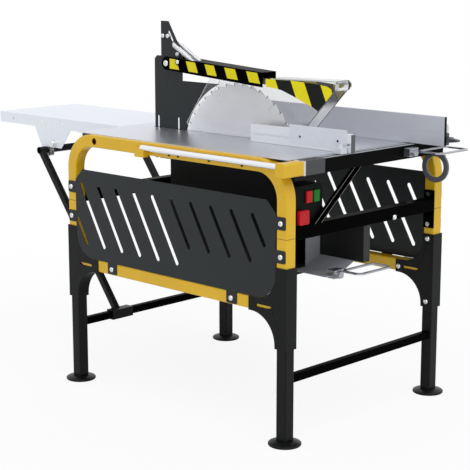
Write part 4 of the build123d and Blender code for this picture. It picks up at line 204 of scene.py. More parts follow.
def tone(tree: Tree, colour: str, noise: Socket, tones: Pair) -> Socket:
    """Make a colour lighter and darker with a noise.

    Args:
        tree: Node tree that takes the nodes.
        colour: Hex colour.
        noise: Noise value around one half.
        tones: Factors on the lightness, where the noise is low and high.

    Returns:
        The varied colour.
    """
    value = add(tree, "MapRange",
                {**NOISE_SPAN, "To Min": tones[0], "To Max": tones[1]}, {"Value": noise})
    varied = add(tree, "HueSaturation", {"Color": linear(colour)}, {"Value": value.outputs["Result"]})
    return varied.outputs["Color"]


def two_tones(tree: Tree, mask: Socket, colours: tuple[str, str], noise: Socket, tones: Pair) -> Socket:
    """Choose between two colours, both lighter and darker with a noise.

    Args:
        tree: Node tree that takes the nodes.
        mask: Zero for the first colour and one for the second.
        colours: The two hex colours.
        noise: Noise value around one half.
        tones: Factors on the lightness, where the noise is low and high.

    Returns:
        The chosen colour.
    """
    pair = [tone(tree, colour, noise, tones) for colour in colours]
    chosen = add(tree, "Mix", {"data_type": "RGBA"},
                 {MIX_FACTOR: mask, **dict(zip(MIX_COLOURS, pair))})
    return chosen.outputs[MIXED_COLOUR]


@dataclass(frozen=True)
class Finish(ABC):
    """What every finish has: a colour that drifts a little, a gloss and some small relief."""

    name: str
    colour: str
    roughness: float
    tones: Pair = (0.95, 1.05)
    spread: Pair = (0.05, 0.05)
    relief: float = 0.1
    depth_mm: float = 0.15
    metallic: float = 0.0
    specular: float = 0.5

    @abstractmethod
    def material(self) -> Material:
        """Make the material of this finish."""

    def start(self) -> tuple[Material, Tree, Node, Socket]:
        """Open the finish's material and set what is the same all over the surface.

        Returns:
            The material, its tree, its shader and its object coordinates.
        """
        material, tree, shader, place = open_material(self.name)
        shader.inputs["Metallic"].default_value = self.metallic
        shader.inputs["Specular IOR Level"].default_value = self.specular
        return material, tree, shader, place

    def wear(self, tree: Tree, shader: Node, grain: Socket, height: Socket | None = None) -> None:
        """Make a shader rougher and smoother with a noise and give it relief.

        Args:
            tree: Node tree of the material.
            shader: Its shader.
            grain: Noise that sets the roughness.
            height: Noise that sets the relief, where there is any.
        """
        low, high = self.roughness - self.spread[0], self.roughness + self.spread[1]
        rough = add(tree, "MapRange", {**NOISE_SPAN, "To Min": low, "To Max": high}, {"Value": grain})
        tree.links.new(rough.outputs["Result"], shader.inputs["Roughness"])
        if height:
            bump = add(tree, "Bump", {"Strength": self.relief, "Distance": metres(self.depth_mm)},
                       {"Height": height})
            tree.links.new(bump.outputs["Normal"], shader.inputs["Normal"])


@dataclass(frozen=True)
class Coating(Finish):
    """Sprayed or powder coated sheet steel: an even colour with fine orange peel."""

    relief: float = 0.12
    depth_mm: float = 0.25
    peel_mm: float = 2.2
    cloud_mm: float = 140.0
    coat: float = 0.0
    coat_roughness: float = 0.16

    def material(self) -> Material:
        """Make the material of this coating.

        Returns:
            The material.
        """
        material, tree, shader, place = self.start()
        shader.inputs["Coat Weight"].default_value = self.coat
        shader.inputs["Coat Roughness"].default_value = self.coat_roughness
        cloud = add(tree, "TexNoise", {"Scale": per_mm(self.cloud_mm), "Detail": 3.0}, {"Vector": place})
        peel = add(tree, "TexNoise", {"Scale": per_mm(self.peel_mm), "Detail": 2.0}, {"Vector": place})
        tree.links.new(tone(tree, self.colour, cloud.outputs["Fac"], self.tones),
                       shader.inputs["Base Color"])
        self.wear(tree, shader, peel.outputs["Fac"], peel.outputs["Fac"])
        return material


@dataclass(frozen=True)
class ZincSheet(Finish):
    """Hot dip galvanised sheet: faint crystals that differ in shine, streaks from rolling."""

    spread: Pair = (0.06, 0.06)
    relief: float = 0.06
    depth_mm: float = 0.1
    metallic: float = 1.0
    crystal_mm: float = 16.0
    crystal_share: float = 0.45
    streak_mm: float = 9.0
    rolled: Triple = (1.0, 0.04, 1.0)

    def material(self) -> Material:
        """Make the material of this sheet.

        Returns:
            The material.
        """
        material, tree, shader, place = self.start()
        crystal = add(tree, "TexVoronoi", {"Scale": per_mm(self.crystal_mm)}, {"Vector": place})
        cell = add(tree, "SeparateColor", {}, {"Color": crystal.outputs["Color"]})
        stretch = add(tree, "Mapping", {"Scale": self.rolled}, {"Vector": place})
        streak = add(tree, "TexNoise", {"Scale": per_mm(self.streak_mm), "Detail": 4.0},
                     {"Vector": stretch.outputs["Vector"]})
        pair = (streak.outputs["Fac"], cell.outputs["Red"])
        both = add(tree, "Mix", {"data_type": "FLOAT", MIX_FACTOR: self.crystal_share},
                   dict(zip(MIX_NUMBERS, pair)))
        shine = both.outputs[MIXED_NUMBER]
        tree.links.new(tone(tree, self.colour, shine, self.tones), shader.inputs["Base Color"])
        self.wear(tree, shader, shine, streak.outputs["Fac"])
        return material


@dataclass(frozen=True)
class DrawnMetal(Finish):
    """Extruded or plated metal: draw lines, coarser than real ones so that they show."""

    tones: Pair = (0.96, 1.04)
    spread: Pair = (0.04, 0.06)
    relief: float = 0.05
    depth_mm: float = 0.08
    metallic: float = 1.0
    line_mm: float = 2.5
    drawn: Triple = (1.0, 0.02, 1.0)

    def material(self) -> Material:
        """Make the material of this metal.

        Returns:
            The material.
        """
        material, tree, shader, place = self.start()
        stretch = add(tree, "Mapping", {"Scale": self.drawn}, {"Vector": place})
        line = add(tree, "TexNoise", {"Scale": per_mm(self.line_mm), "Detail": 3.0},
                   {"Vector": stretch.outputs["Vector"]})
        tree.links.new(tone(tree, self.colour, line.outputs["Fac"], self.tones),
                       shader.inputs["Base Color"])
        self.wear(tree, shader, line.outputs["Fac"], line.outputs["Fac"])
        return material


@dataclass(frozen=True)
class GroundBlade(Finish):
    """Saw steel ground on a turntable: rings about the arbor, drawn coarse so that they show."""

    tones: Pair = (0.94, 1.05)
    spread: Pair = (0.05, 0.06)
    relief: float = 0.08
    depth_mm: float = 0.06
    metallic: float = 0.42
    ring_mm: float = 3.0
    cloud_mm: float = 90.0
    cloud_share: float = 0.4

    def material(self) -> Material:
        """Make the material of the ground blade.

        Returns:
            The material.
        """
        material, tree, shader, place = self.start()
        centred = add(tree, "Mapping", {"Location": -ARBOR}, {"Vector": place})
        reach = add(tree, "VectorMath", {"operation": "LENGTH"}, {0: centred.outputs["Vector"]})
        ring = add(tree, "TexNoise",
                   {"noise_dimensions": "1D", "Scale": per_mm(self.ring_mm), "Detail": 5.0},
                   {"W": reach.outputs["Value"]})
        cloud = add(tree, "TexNoise", {"Scale": per_mm(self.cloud_mm), "Detail": 2.0}, {"Vector": place})
        pair = (ring.outputs["Fac"], cloud.outputs["Fac"])
        both = add(tree, "Mix", {"data_type": "FLOAT", MIX_FACTOR: self.cloud_share},
                   dict(zip(MIX_NUMBERS, pair)))
        tree.links.new(tone(tree, self.colour, both.outputs[MIXED_NUMBER], self.tones),
                       shader.inputs["Base Color"])
        self.wear(tree, shader, ring.outputs["Fac"], ring.outputs["Fac"])
        return material


@dataclass(frozen=True)
class Moulding(Finish):
    """Injection moulded plastic: spark-eroded texture, coarser than real so that it shows."""

    tones: Pair = (0.95, 1.06)
    spread: Pair = (0.05, 0.07)
    grain_mm: float = 1.6
    cloud_mm: float = 30.0

    def material(self) -> Material:
        """Make the material of this moulding.

        Returns:
            The material.
        """
        material, tree, shader, place = self.start()
        grain = add(tree, "TexNoise", {"Scale": per_mm(self.grain_mm), "Detail": 3.0}, {"Vector": place})
        cloud = add(tree, "TexNoise", {"Scale": per_mm(self.cloud_mm), "Detail": 2.0}, {"Vector": place})
        tree.links.new(tone(tree, self.colour, cloud.outputs["Fac"], self.tones),
                       shader.inputs["Base Color"])
        self.wear(tree, shader, grain.outputs["Fac"], grain.outputs["Fac"])
        return material


@dataclass(frozen=True)
class ClearSheet(Finish):
    """Folded polycarbonate: clear, dark along its cut edges, milky white at the foot of its front wall
    as a painted highlight.
    """

    tones: Pair = (0.995, 1.0)
    spread: Pair = (0.0, 0.03)
    ior: float = 1.46
    wave_mm: float = 60.0
    smoke: str = "#8A9096"
    uptake: float = 14.0
    front_foot: Triple = (BLADE_X, -282.0, 860.0)
    front_facing: Triple = (0.0, -0.7224, -0.6918)
    front_depth_mm: float = 4.6
    front_half_mm: float = 24.6
    glare_heights_mm: Pair = (108.0, 132.0)
    glare_clearness: float = 0.3

    def clearness(self, tree: Tree, place: Socket) -> Socket:
        """Lower the clearness of the slanted front wall near its foot: a milky white band that is a
        painted highlight.

        Args:
            tree: Node tree that takes the nodes.
            place: Object coordinates.

        Returns:
            The share of light that passes.
        """
        away = add(tree, "Mapping", {"Location": -spot(*self.front_foot)}, {"Vector": place})
        parts = add(tree, "SeparateXYZ", {}, {"Vector": away.outputs["Vector"]})
        depth = add(tree, "VectorMath", {"operation": "DOT_PRODUCT", 1: self.front_facing},
                    {0: away.outputs["Vector"]})
        masks = []
        for distance, reach_mm in ((depth.outputs["Value"], self.front_depth_mm),
                                   (parts.outputs["X"], self.front_half_mm)):
            near = add(tree, "Math", {"operation": "COMPARE", 1: 0.0, 2: metres(reach_mm)},
                       {0: distance})
            masks.append(near.outputs["Value"])
        low, high = (metres(height) for height in self.glare_heights_mm)
        fade = add(tree, "MapRange", {"From Min": low, "From Max": high, "To Min": 1.0, "To Max": 0.0},
                   {"Value": parts.outputs["Z"]})
        glare_band, *others = *masks, fade.outputs["Result"]
        for mask in others:
            both = add(tree, "Math", {"operation": "MULTIPLY"}, {0: glare_band, 1: mask})
            glare_band = both.outputs["Value"]
        # The milky band is a painted highlight: white sheet that lets little light through.
        clear = add(tree, "MapRange", {"To Min": 1.0, "To Max": self.glare_clearness}, {"Value": glare_band})
        return clear.outputs["Result"]

    def material(self) -> Material:
        """Make the material of the clear sheet.

        Returns:
            The material.
        """
        material, tree, shader, place = self.start()
        shader.inputs["IOR"].default_value = self.ior
        tree.links.new(self.clearness(tree, place), shader.inputs["Transmission Weight"])
        wave = add(tree, "TexNoise", {"Scale": per_mm(self.wave_mm), "Detail": 1.0}, {"Vector": place})
        tree.links.new(tone(tree, self.colour, wave.outputs["Fac"], self.tones),
                       shader.inputs["Base Color"])
        self.wear(tree, shader, wave.outputs["Fac"])
        inside = add(tree, "VolumeAbsorption", {"Color": linear(self.smoke), "Density": self.uptake})
        tree.links.new(inside.outputs["Volume"], tree.nodes["Material Output"].inputs["Volume"])
        return material


@dataclass(frozen=True, kw_only=True)
class TwoTone(Finish):
    """Piece in two colours that meet at a straight border."""

    depth_mm: float = 0.2
    grain_mm: float = 2.2
    cloud_mm: float = 70.0
    other: str
    region: Region
    border_mm: float

    def material(self) -> Material:
        """Make the material of the two-tone piece.

        Returns:
            The material.
        """
        material, tree, shader, place = self.start()
        axis, test = self.region.value
        border = spot(self.border_mm, self.border_mm, self.border_mm)[axis]
        parts = add(tree, "SeparateXYZ", {}, {"Vector": place})
        mask = add(tree, "Math", {"operation": test, 1: border}, {0: parts.outputs[axis]})
        grain = add(tree, "TexNoise", {"Scale": per_mm(self.grain_mm), "Detail": 2.0}, {"Vector": place})
        cloud = add(tree, "TexNoise", {"Scale": per_mm(self.cloud_mm), "Detail": 3.0}, {"Vector": place})
        colour = two_tones(tree, mask.outputs["Value"], (self.colour, self.other),
                           cloud.outputs["Fac"], self.tones)
        tree.links.new(colour, shader.inputs["Base Color"])
        self.wear(tree, shader, grain.outputs["Fac"], grain.outputs["Fac"])
        return material


@dataclass(frozen=True, kw_only=True)
class HazardFilm(Finish):
    """Printed vinyl film: slanted warning stripes with crisp edges on a dark ground."""

    tones: Pair = (0.97, 1.03)
    specular: float = 0.12
    cloud_mm: float = 40.0
    ground: str
    pitch_mm: float
    share: float
    lean: float
    first: Triple

    def material(self) -> Material:
        """Make the material of the striped film.

        Returns:
            The material.
        """
        material, tree, shader, place = self.start()
        shader.inputs["Roughness"].default_value = self.roughness
        shifted = add(tree, "Mapping", {"Location": -spot(*self.first)}, {"Vector": place})
        along = add(tree, "VectorMath", {"operation": "DOT_PRODUCT", 1: (0.0, -1.0, self.lean)},
                    {0: shifted.outputs["Vector"]})
        turns = add(tree, "Math", {"operation": "MULTIPLY", 1: per_mm(self.pitch_mm)},
                    {0: along.outputs["Value"]})
        phase = add(tree, "Math", {"operation": "FRACT"}, {0: turns.outputs["Value"]})
        mask = add(tree, "Math", {"operation": "LESS_THAN", 1: self.share}, {0: phase.outputs["Value"]})
        cloud = add(tree, "TexNoise", {"Scale": per_mm(self.cloud_mm), "Detail": 2.0}, {"Vector": place})
        colour = two_tones(tree, mask.outputs["Value"], (self.ground, self.colour),
                           cloud.outputs["Fac"], self.tones)
        tree.links.new(colour, shader.inputs["Base Color"])
        return material


# Gloss enamel on steel tube: a warm, even yellow with broad soft highlights.
YELLOW = Coating("golden_yellow_gloss_paint", "#E3B51C", 0.30, coat=0.2, specular=0.3)
# Powder coat on sheet steel: dull dark grey that only lightens at grazing angles.
CHARCOAL = Coating("charcoal_powder_coat", "#212527", 0.46, peel_mm=1.8, relief=0.14, specular=0.28)
# Powder coat on tube and plate: near black with a soft sheen along the edges.
BLACK = Coating("black_powder_coat", "#0D0E0F", 0.36, peel_mm=1.8, specular=0.17)
# Enamel on the cross members and the guard arm: the deepest black, with hardly any sheen. The very dark
# base and the missing sheen are painted shade, for the shade under the table and the dark surround these
# parts face.
JET_WITH_PAINTED_SHADE = Coating("jet_black_enamel_with_painted_shade", "#050506", 0.30, peel_mm=1.8, relief=0.06, specular=0.006)
# Vinyl film on the arm: flat, clean lemon yellow.
STRIPE = Coating("lemon_vinyl_film", "#E9D80E", 0.36, peel_mm=4.0, relief=0.05,
                 tones=(0.97, 1.03), specular=0.2)
# Shadow in a ground weld: a thin brownish line in the yellow.
WELD_SHADOW = Coating("ground_weld_shadow_line", "#5E4A12", 0.6)
# Painted iron casting: matt and a little rough.
MOTOR = Coating("painted_casting", "#17191A", 0.55, peel_mm=3.0, relief=0.3, specular=0.3)
# Printed film on the hood: crisp slanted bars of yellow and black.
HAZARD = HazardFilm("printed_warning_film", "#F2E21C", 0.3, ground="#141515", pitch_mm=117.0,
                    share=0.46, lean=0.45, first=(BLADE_X, -264.0, 1044.0))
# Rolled galvanised table: cool silver grey, smooth, with one broad soft reflection.
TABLE_ZINC = ZincSheet("rolled_galvanised_table", "#D5D8E0", 0.34, tones=(0.988, 1.012),
                       spread=(0.015, 0.015), relief=0.012)
# Fresh galvanised sheet: almost white, more scatter than mirror.
EXTENSION_ZINC = ZincSheet("bright_galvanised_sheet", "#EDF0F8", 0.42, tones=(0.99, 1.01),
                           spread=(0.02, 0.02), relief=0.02, metallic=0.4)
# Galvanised fence plate: pale, even grey.
PLATE_ZINC = ZincSheet("galvanised_fence_plate", "#DCDEE6", 0.40, tones=(0.988, 1.012),
                       spread=(0.02, 0.02), relief=0.02, metallic=0.4)
# Chute of galvanised sheet: grey floor beside a black right wall, whose black is partly its own dark
# colour and partly painted shade.
CHUTE = TwoTone("galvanised_chute_with_black_wall", "#A3A6AB", 0.5, other="#0D0E0F",
                region=Region.RIGHT, border_mm=-19.5)
# Galvanised flat bar: mid grey, small crystals.
HOOP_ZINC = ZincSheet("galvanised_flat_bar", "#B2B5BB", 0.34, crystal_mm=8.0)
# Dull zinc on the eye: dark grey all round, without a bright rim.
EYE_ZINC = ZincSheet("dull_zinc_eye", "#6E7074", 0.5, crystal_mm=8.0, tones=(0.97, 1.03),
                     spread=(0.03, 0.03), metallic=0.5)
# Drawn aluminium: pale, with fine lines along the bar.
ALUMINIUM = DrawnMetal("drawn_aluminium", "#E4E6EA", 0.36, metallic=0.7)
# Anodised aluminium: satin blue grey that stays light when it faces away from the lamp.
GREY_ALUMINIUM = DrawnMetal("anodised_grey_aluminium", "#D2D3DE", 0.40, metallic=0.35)
# Zinc plated fasteners: bright, slightly soft reflections.
BRIGHT = DrawnMetal("bright_zinc_plate", "#E6E7E8", 0.22, line_mm=1.5, drawn=(1.0, 1.0, 1.0))
# Chromed bar: sharp, high contrast reflections.
CHROME = DrawnMetal("polished_chrome", "#F0F1F4", 0.10)
# Zinc plated spring wire: small bright glints on every turn.
SPRING_WIRE = DrawnMetal("zinc_spring_wire", "#DDDEE1", 0.26, line_mm=1.5, drawn=(1.0, 1.0, 1.0))
# Painted highlight along a fold: thin light lines on a black bar, where a fold catches the light.
FOLD_HIGHLIGHT = DrawnMetal("painted_fold_highlight", "#A8A49E", 0.40, metallic=0.5)
# Ground saw steel: pale grey with faint rings.
BLADE = GroundBlade("ground_saw_steel", "#FAFAFE", 0.36)
# Sintered carbide: darker grey, dull.
CARBIDE = DrawnMetal("carbide_tip", "#8D8F93", 0.40, line_mm=1.0, drawn=(1.0, 1.0, 1.0))
# Moulded ABS: deep black with a fine matt grain.
BLACK_PLASTIC = Moulding("black_moulded_plastic", "#060708", 0.44, specular=0.08)
# Moulded nylon: dark grey, slightly lighter on its upper faces.
GREY_PLASTIC = Moulding("dark_grey_moulded_plastic", "#505358", 0.48)
# Moulded nylon feet: black, with a soft light along the rim.
FOOT_NYLON = Moulding("black_nylon_foot", "#0D0E0F", 0.34, grain_mm=2.4, relief=0.05, specular=0.2)
# Moulded knob: pale grey with a smooth shine.
PALE_PLASTIC = Moulding("pale_moulded_plastic", "#DADADA", 0.30)
# Moulded buttons: saturated signal colours with a soft gloss, both darkened as painted shade for the
# shade over the switch.
RED = Moulding("red_moulded_plastic_with_painted_shade", "#BE171B", 0.34, specular=0.2)
GREEN = Moulding("green_moulded_plastic_with_painted_shade", "#0C7420", 0.34, specular=0.2)
# Folded polycarbonate: see-through, with dark cut edges and a milky foot to its front wall that is a
# painted highlight.
CLEAR = ClearSheet("clear_polycarbonate", "#FFFFFF", 0.01)
# Coated rail: black web with a grey top face; the web's deep black and near-zero sheen are painted shade
# under the table's edge.
RAIL = TwoTone("black_rail_with_bare_top", "#050506", 0.36, other="#A6A9AD",
               region=Region.TOP, border_mm=847.6, specular=0.03)
# End block: dark moulding beside a pale wear strip.
END_BLOCK = TwoTone("dark_block_with_pale_strip", "#3A3D40", 0.46, other="#D9DADB",
                    region=Region.LEFT, border_mm=-325.4)


@dataclass
class Workshop:
    """Keeps one material per finish, dresses CAD nodes and turns meshes into pieces."""

    made: dict[str, Material] = field(default_factory=dict)
    merge_mm: float = 0.02
    edge_segments: int = 2
    sharp_angle: float = math.radians(34)

    def material(self, finish: Finish) -> Material:
        """Return the finish's material, made on first use."""
        self.made[finish.name] = self.made.get(finish.name) or finish.material()
        return self.made[finish.name]

    def soften(self, obj: bpy.types.Object, edge_mm: float) -> None:
        """Round the sharp edges of a CAD node and shade its faces flat.

        Args:
            obj: The node's object.
            edge_mm: Width of the round.
        """
        merge = obj.modifiers.new("merge", "WELD")
        merge.merge_threshold = metres(self.merge_mm)
        edge = obj.modifiers.new("edge_round", "BEVEL")
        edge.width = metres(edge_mm)
        edge.segments = self.edge_segments
        edge.limit_method = "ANGLE"
        edge.angle_limit = self.sharp_angle
        obj.modifiers.new("flat_faces", "WEIGHTED_NORMAL")

    def dress(self, finish: Finish, edge_mm: float, *nodes: str) -> None:
        """Give CAD nodes a finish and softened edges.

        Args:
            finish: Finish of the nodes.
            edge_mm: Width of the edge round, or zero for none.
            nodes: Names of the CAD nodes.
        """
        for name in nodes:
            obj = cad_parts[name]
            obj.data.materials.clear()
            obj.data.materials.append(self.material(finish))
            if edge_mm > 0:
                self.soften(obj, edge_mm)
            LOG.info("dressed %s with %s", name, finish.name)

    def piece(self, name: str, mesh: Mesh, body: Body, finish: Finish) -> bpy.types.Object:
        """Turn a bmesh into a finished piece on a body.

        Args:
            name: Name of the piece.
            mesh: Its shape, in the shared frame; freed here.
            body: Body that carries it.
            finish: Its finish.

        Returns:
            The new object.
        """
        data = bpy.data.meshes.new(name)
        mesh.normal_update()
        mesh.to_mesh(data)
        mesh.free()
        obj = bpy.data.objects.new(name, data)
        bpy.context.scene.collection.objects.link(obj)
        data.materials.append(self.material(finish))
        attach(obj, body.value)
        LOG.info("built %s with %d faces", name, len(data.polygons))
        return obj


SHOP = Workshop()


def round_edges(mesh: Mesh, edges: list[bmesh.types.BMEdge], width_mm: float,
                segments: int = 2) -> list[bmesh.types.BMFace]:
    """Round edges of a mesh.

    Args:
        mesh: Bmesh that has the edges.
        edges: The edges to round.
        width_mm: Width of the round.
        segments: Faces across the round.

    Returns:
        The faces of the round.
    """
    made = bmesh.ops.bevel(mesh, geom=edges, offset=metres(width_mm), affect="EDGES",
                           segments=segments, profile=0.5, material=-1)
    return made["faces"]


def add_plate(mesh: Mesh, corners: list[Vector], push: Vector) -> None:
    """Add a flat plate: an outline pushed to its thickness.

    Args:
        mesh: Bmesh that takes the plate.
        corners: Corners of its first face in the shared frame.
        push: Way from that face to the other one.
    """
    verts = [mesh.verts.new(corner) for corner in corners]
    grown = bmesh.ops.extrude_face_region(mesh, geom=[mesh.faces.new(verts)])
    moved = [item for item in grown["geom"] if isinstance(item, bmesh.types.BMVert)]
    bmesh.ops.translate(mesh, verts=moved, vec=push)
    faces = {face for vert in verts + moved for face in vert.link_faces}
    bmesh.ops.recalc_face_normals(mesh, faces=list(faces))


def add_block(mesh: Mesh, place: Matrix, size_mm: Triple) -> list[bmesh.types.BMVert]:
    """Add a box.

    Args:
        mesh: Bmesh that takes the box.
        place: Its middle and turn in the shared frame.
        size_mm: Its width, depth and height.

    Returns:
        Its corners.
    """
    scale = Matrix.Diagonal([metres(side) for side in size_mm] + [1.0])
    return bmesh.ops.create_cube(mesh, size=1.0, matrix=place @ scale)["verts"]


def add_rod(mesh: Mesh, centre: Vector, radius_mm: float, length_mm: float,
            round_mm: float = 0.0, sides: int = 24) -> None:
    """Add a round head or disc across the saw, with softened rims.

    Args:
        mesh: Bmesh that takes the rod.
        centre: Its middle in the shared frame.
        radius_mm: Its radius.
        length_mm: Its length along X.
        round_mm: Width of the round on its rims.
        sides: Faces around it.
    """
    turn = Vector((1, 0, 0)).to_track_quat("Z", "Y").to_matrix().to_4x4()
    radius = metres(radius_mm)
    made = bmesh.ops.create_cone(mesh, cap_ends=True, segments=sides, radius1=radius,
                                 radius2=radius, depth=metres(length_mm),
                                 matrix=Matrix.Translation(centre) @ turn)
    faces = {face for vert in made["verts"] for face in vert.link_faces}
    caps = [face for face in faces if len(face.verts) == sides]
    if round_mm > 0:
        rims = [edge for cap in caps for edge in cap.edges]
        rounds = round_edges(mesh, rims, round_mm)
        faces = {face for face in faces if face.is_valid} | set(rounds)
    for face in faces:
        face.smooth = len(face.verts) < sides


@dataclass
class Guard:
    """Striped guard arm, clear hood with its film, springs, knife and post."""

    arm_half: float = 32.0
    hood_half: float = 29.0
    film: float = 0.3
    film_gap: float = 0.15
    arm_stripes: tuple[Pair, ...] = (
        (270.0, 238.0), (193.0, 150.0), (106.0, 64.0), (17.0, -30.0), (-79.0, -126.0))
    stripe_lean: float = 13.0
    band_start: float = 268.0
    band_top: float = 1086.0
    band_foot: float = 1053.0
    band_slope: float = 0.0628
    film_outline: tuple[Pair, ...] = (
        (-160.0, 1045.0), (-160.0, 1021.0), (-202.0, 1018.0), (-227.0, 1014.0),
        (-278.0, 998.0), (-319.0, 983.0), (-356.0, 970.0), (-375.3, 960.4),
        (-427.0, 1014.5), (-429.0, 1018.0), (-425.0, 1030.0), (-409.0, 1037.0),
        (-384.0, 1040.0), (-318.0, 1044.0), (-264.0, 1046.0))
    bolt: Pair = (227.5, 1077.0)
    bolt_r: float = 7.4
    bolt_head: float = 7.6
    bolt_round: float = 2.2
    spring_top: Pair = (272.0, 1132.0)
    spring_foot: Pair = (165.0, 1072.0)
    spring_offset: float = 15.5
    coil_r: float = 5.8
    coil_turns: int = 33
    coil_steps: int = 16
    hook_r: float = 5.7
    hook_steps: int = 24
    hook_sweep: float = math.radians(270)
    wire_r: float = 1.6
    wire_sides: int = 8

    def dress(self) -> None:
        """Give the guard's nodes their finishes."""
        SHOP.dress(JET_WITH_PAINTED_SHADE, 0.8, "guard_arm")
        SHOP.dress(CHARCOAL, 0.5, "riving_knife")
        SHOP.dress(BLACK, 0.5, "knife_clamp")
        SHOP.dress(BRIGHT, 0.0, "guard_bolts")
        SHOP.dress(CLEAR, 0.0, "guard_hood")

    def build(self) -> None:
        """Lay the films, cap the arm's bolt and hang the springs."""
        self.build_stripes()
        self.build_film()
        self.build_caps()
        self.build_springs()

    def build_stripes(self) -> None:
        """Lay the stripes on the arm; the rearmost one starts upright."""
        stripes = bmesh.new()
        for side in Side:
            face = BLADE_X + side.value * self.arm_half
            push = Vector((metres(side.value * self.film), 0, 0))
            for rear, front in self.arm_stripes:
                drop_rear = (self.band_start - rear) * self.band_slope
                drop_front = (self.band_start - front) * self.band_slope
                foot_rear = rear - self.stripe_lean if rear < self.band_start else rear
                outline = ((foot_rear, self.band_foot - drop_rear),
                           (front - self.stripe_lean, self.band_foot - drop_front),
                           (front, self.band_top - drop_front),
                           (rear, self.band_top - drop_rear))
                add_plate(stripes, [spot(face, y, z) for y, z in outline], push)
        SHOP.piece("arm_stripes", stripes, Body.GUARD, STRIPE)

    def build_film(self) -> None:
        """Lay the printed film on both sides of the hood."""
        film = bmesh.new()
        for side in Side:
            face = BLADE_X + side.value * (self.hood_half + self.film_gap)
            push = Vector((metres(side.value * self.film), 0, 0))
            add_plate(film, [spot(face, y, z) for y, z in self.film_outline], push)
        SHOP.piece("hood_film", film, Body.GUARD, HAZARD)

    def build_caps(self) -> None:
        """Cap both ends of the arm's bolt."""
        caps = bmesh.new()
        for side in Side:
            x = BLADE_X + side.value * (self.arm_half + self.bolt_head / 2)
            add_rod(caps, spot(x, *self.bolt), self.bolt_r, self.bolt_head, self.bolt_round)
        SHOP.piece("arm_bolt_caps", caps, Body.GUARD, BRIGHT)

    def wind(self, mesh: Mesh, side: Side) -> None:
        """Wind one spring from a round of wire: a hook, the close turns and another hook.

        Args:
            mesh: Bmesh that takes the spring.
            side: Side of the post that the spring hangs on.
        """
        x = BLADE_X + side.value * self.spring_offset
        top, foot = spot(x, *self.spring_top), spot(x, *self.spring_foot)
        along = (foot - top).normalized()
        across = Vector((-side.value, 0, 0))
        reach = across * metres(self.coil_r)
        hook = metres(self.hook_r)
        steps = self.coil_turns * self.coil_steps
        climb = along * ((foot - top).length - 2 * hook) / steps
        first = Matrix.Translation(top + reach + along.cross(across) * hook)
        turn = along.to_track_quat("Z", "Y").to_matrix().to_4x4()
        made = bmesh.ops.create_circle(mesh, segments=self.wire_sides,
                                       radius=metres(self.wire_r), matrix=first @ turn)
        wire = list({edge for vert in made["verts"] for edge in vert.link_edges})
        runs = ((top + reach, across, -self.hook_sweep, self.hook_steps, Vector()),
                (top, along, 2 * math.pi * self.coil_turns, steps, climb),
                (foot + reach, across, self.hook_sweep, self.hook_steps, Vector()))
        for centre, axis, angle, count, shift in runs:
            spun = bmesh.ops.spin(mesh, geom=wire, cent=centre, axis=axis, dvec=shift, angle=angle,
                                  steps=count, use_merge=False, use_duplicate=False)
            wire = [item for item in spun["geom_last"] if isinstance(item, bmesh.types.BMEdge)]

    def build_springs(self) -> None:
        """Wind both tension springs with close turns in place of the plainer CAD ones."""
        mesh = bmesh.new()
        for side in Side:
            self.wind(mesh, side)
        ends = [edge for edge in mesh.edges if edge.is_boundary]
        bmesh.ops.holes_fill(mesh, edges=ends, sides=self.wire_sides)
        bmesh.ops.recalc_face_normals(mesh, faces=mesh.faces)
        for face in mesh.faces:
            face.smooth = len(face.verts) < self.wire_sides
        springs = SHOP.piece("tension_springs", mesh, Body.SPRINGS, SPRING_WIRE)
        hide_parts("left_spring", "right_spring")


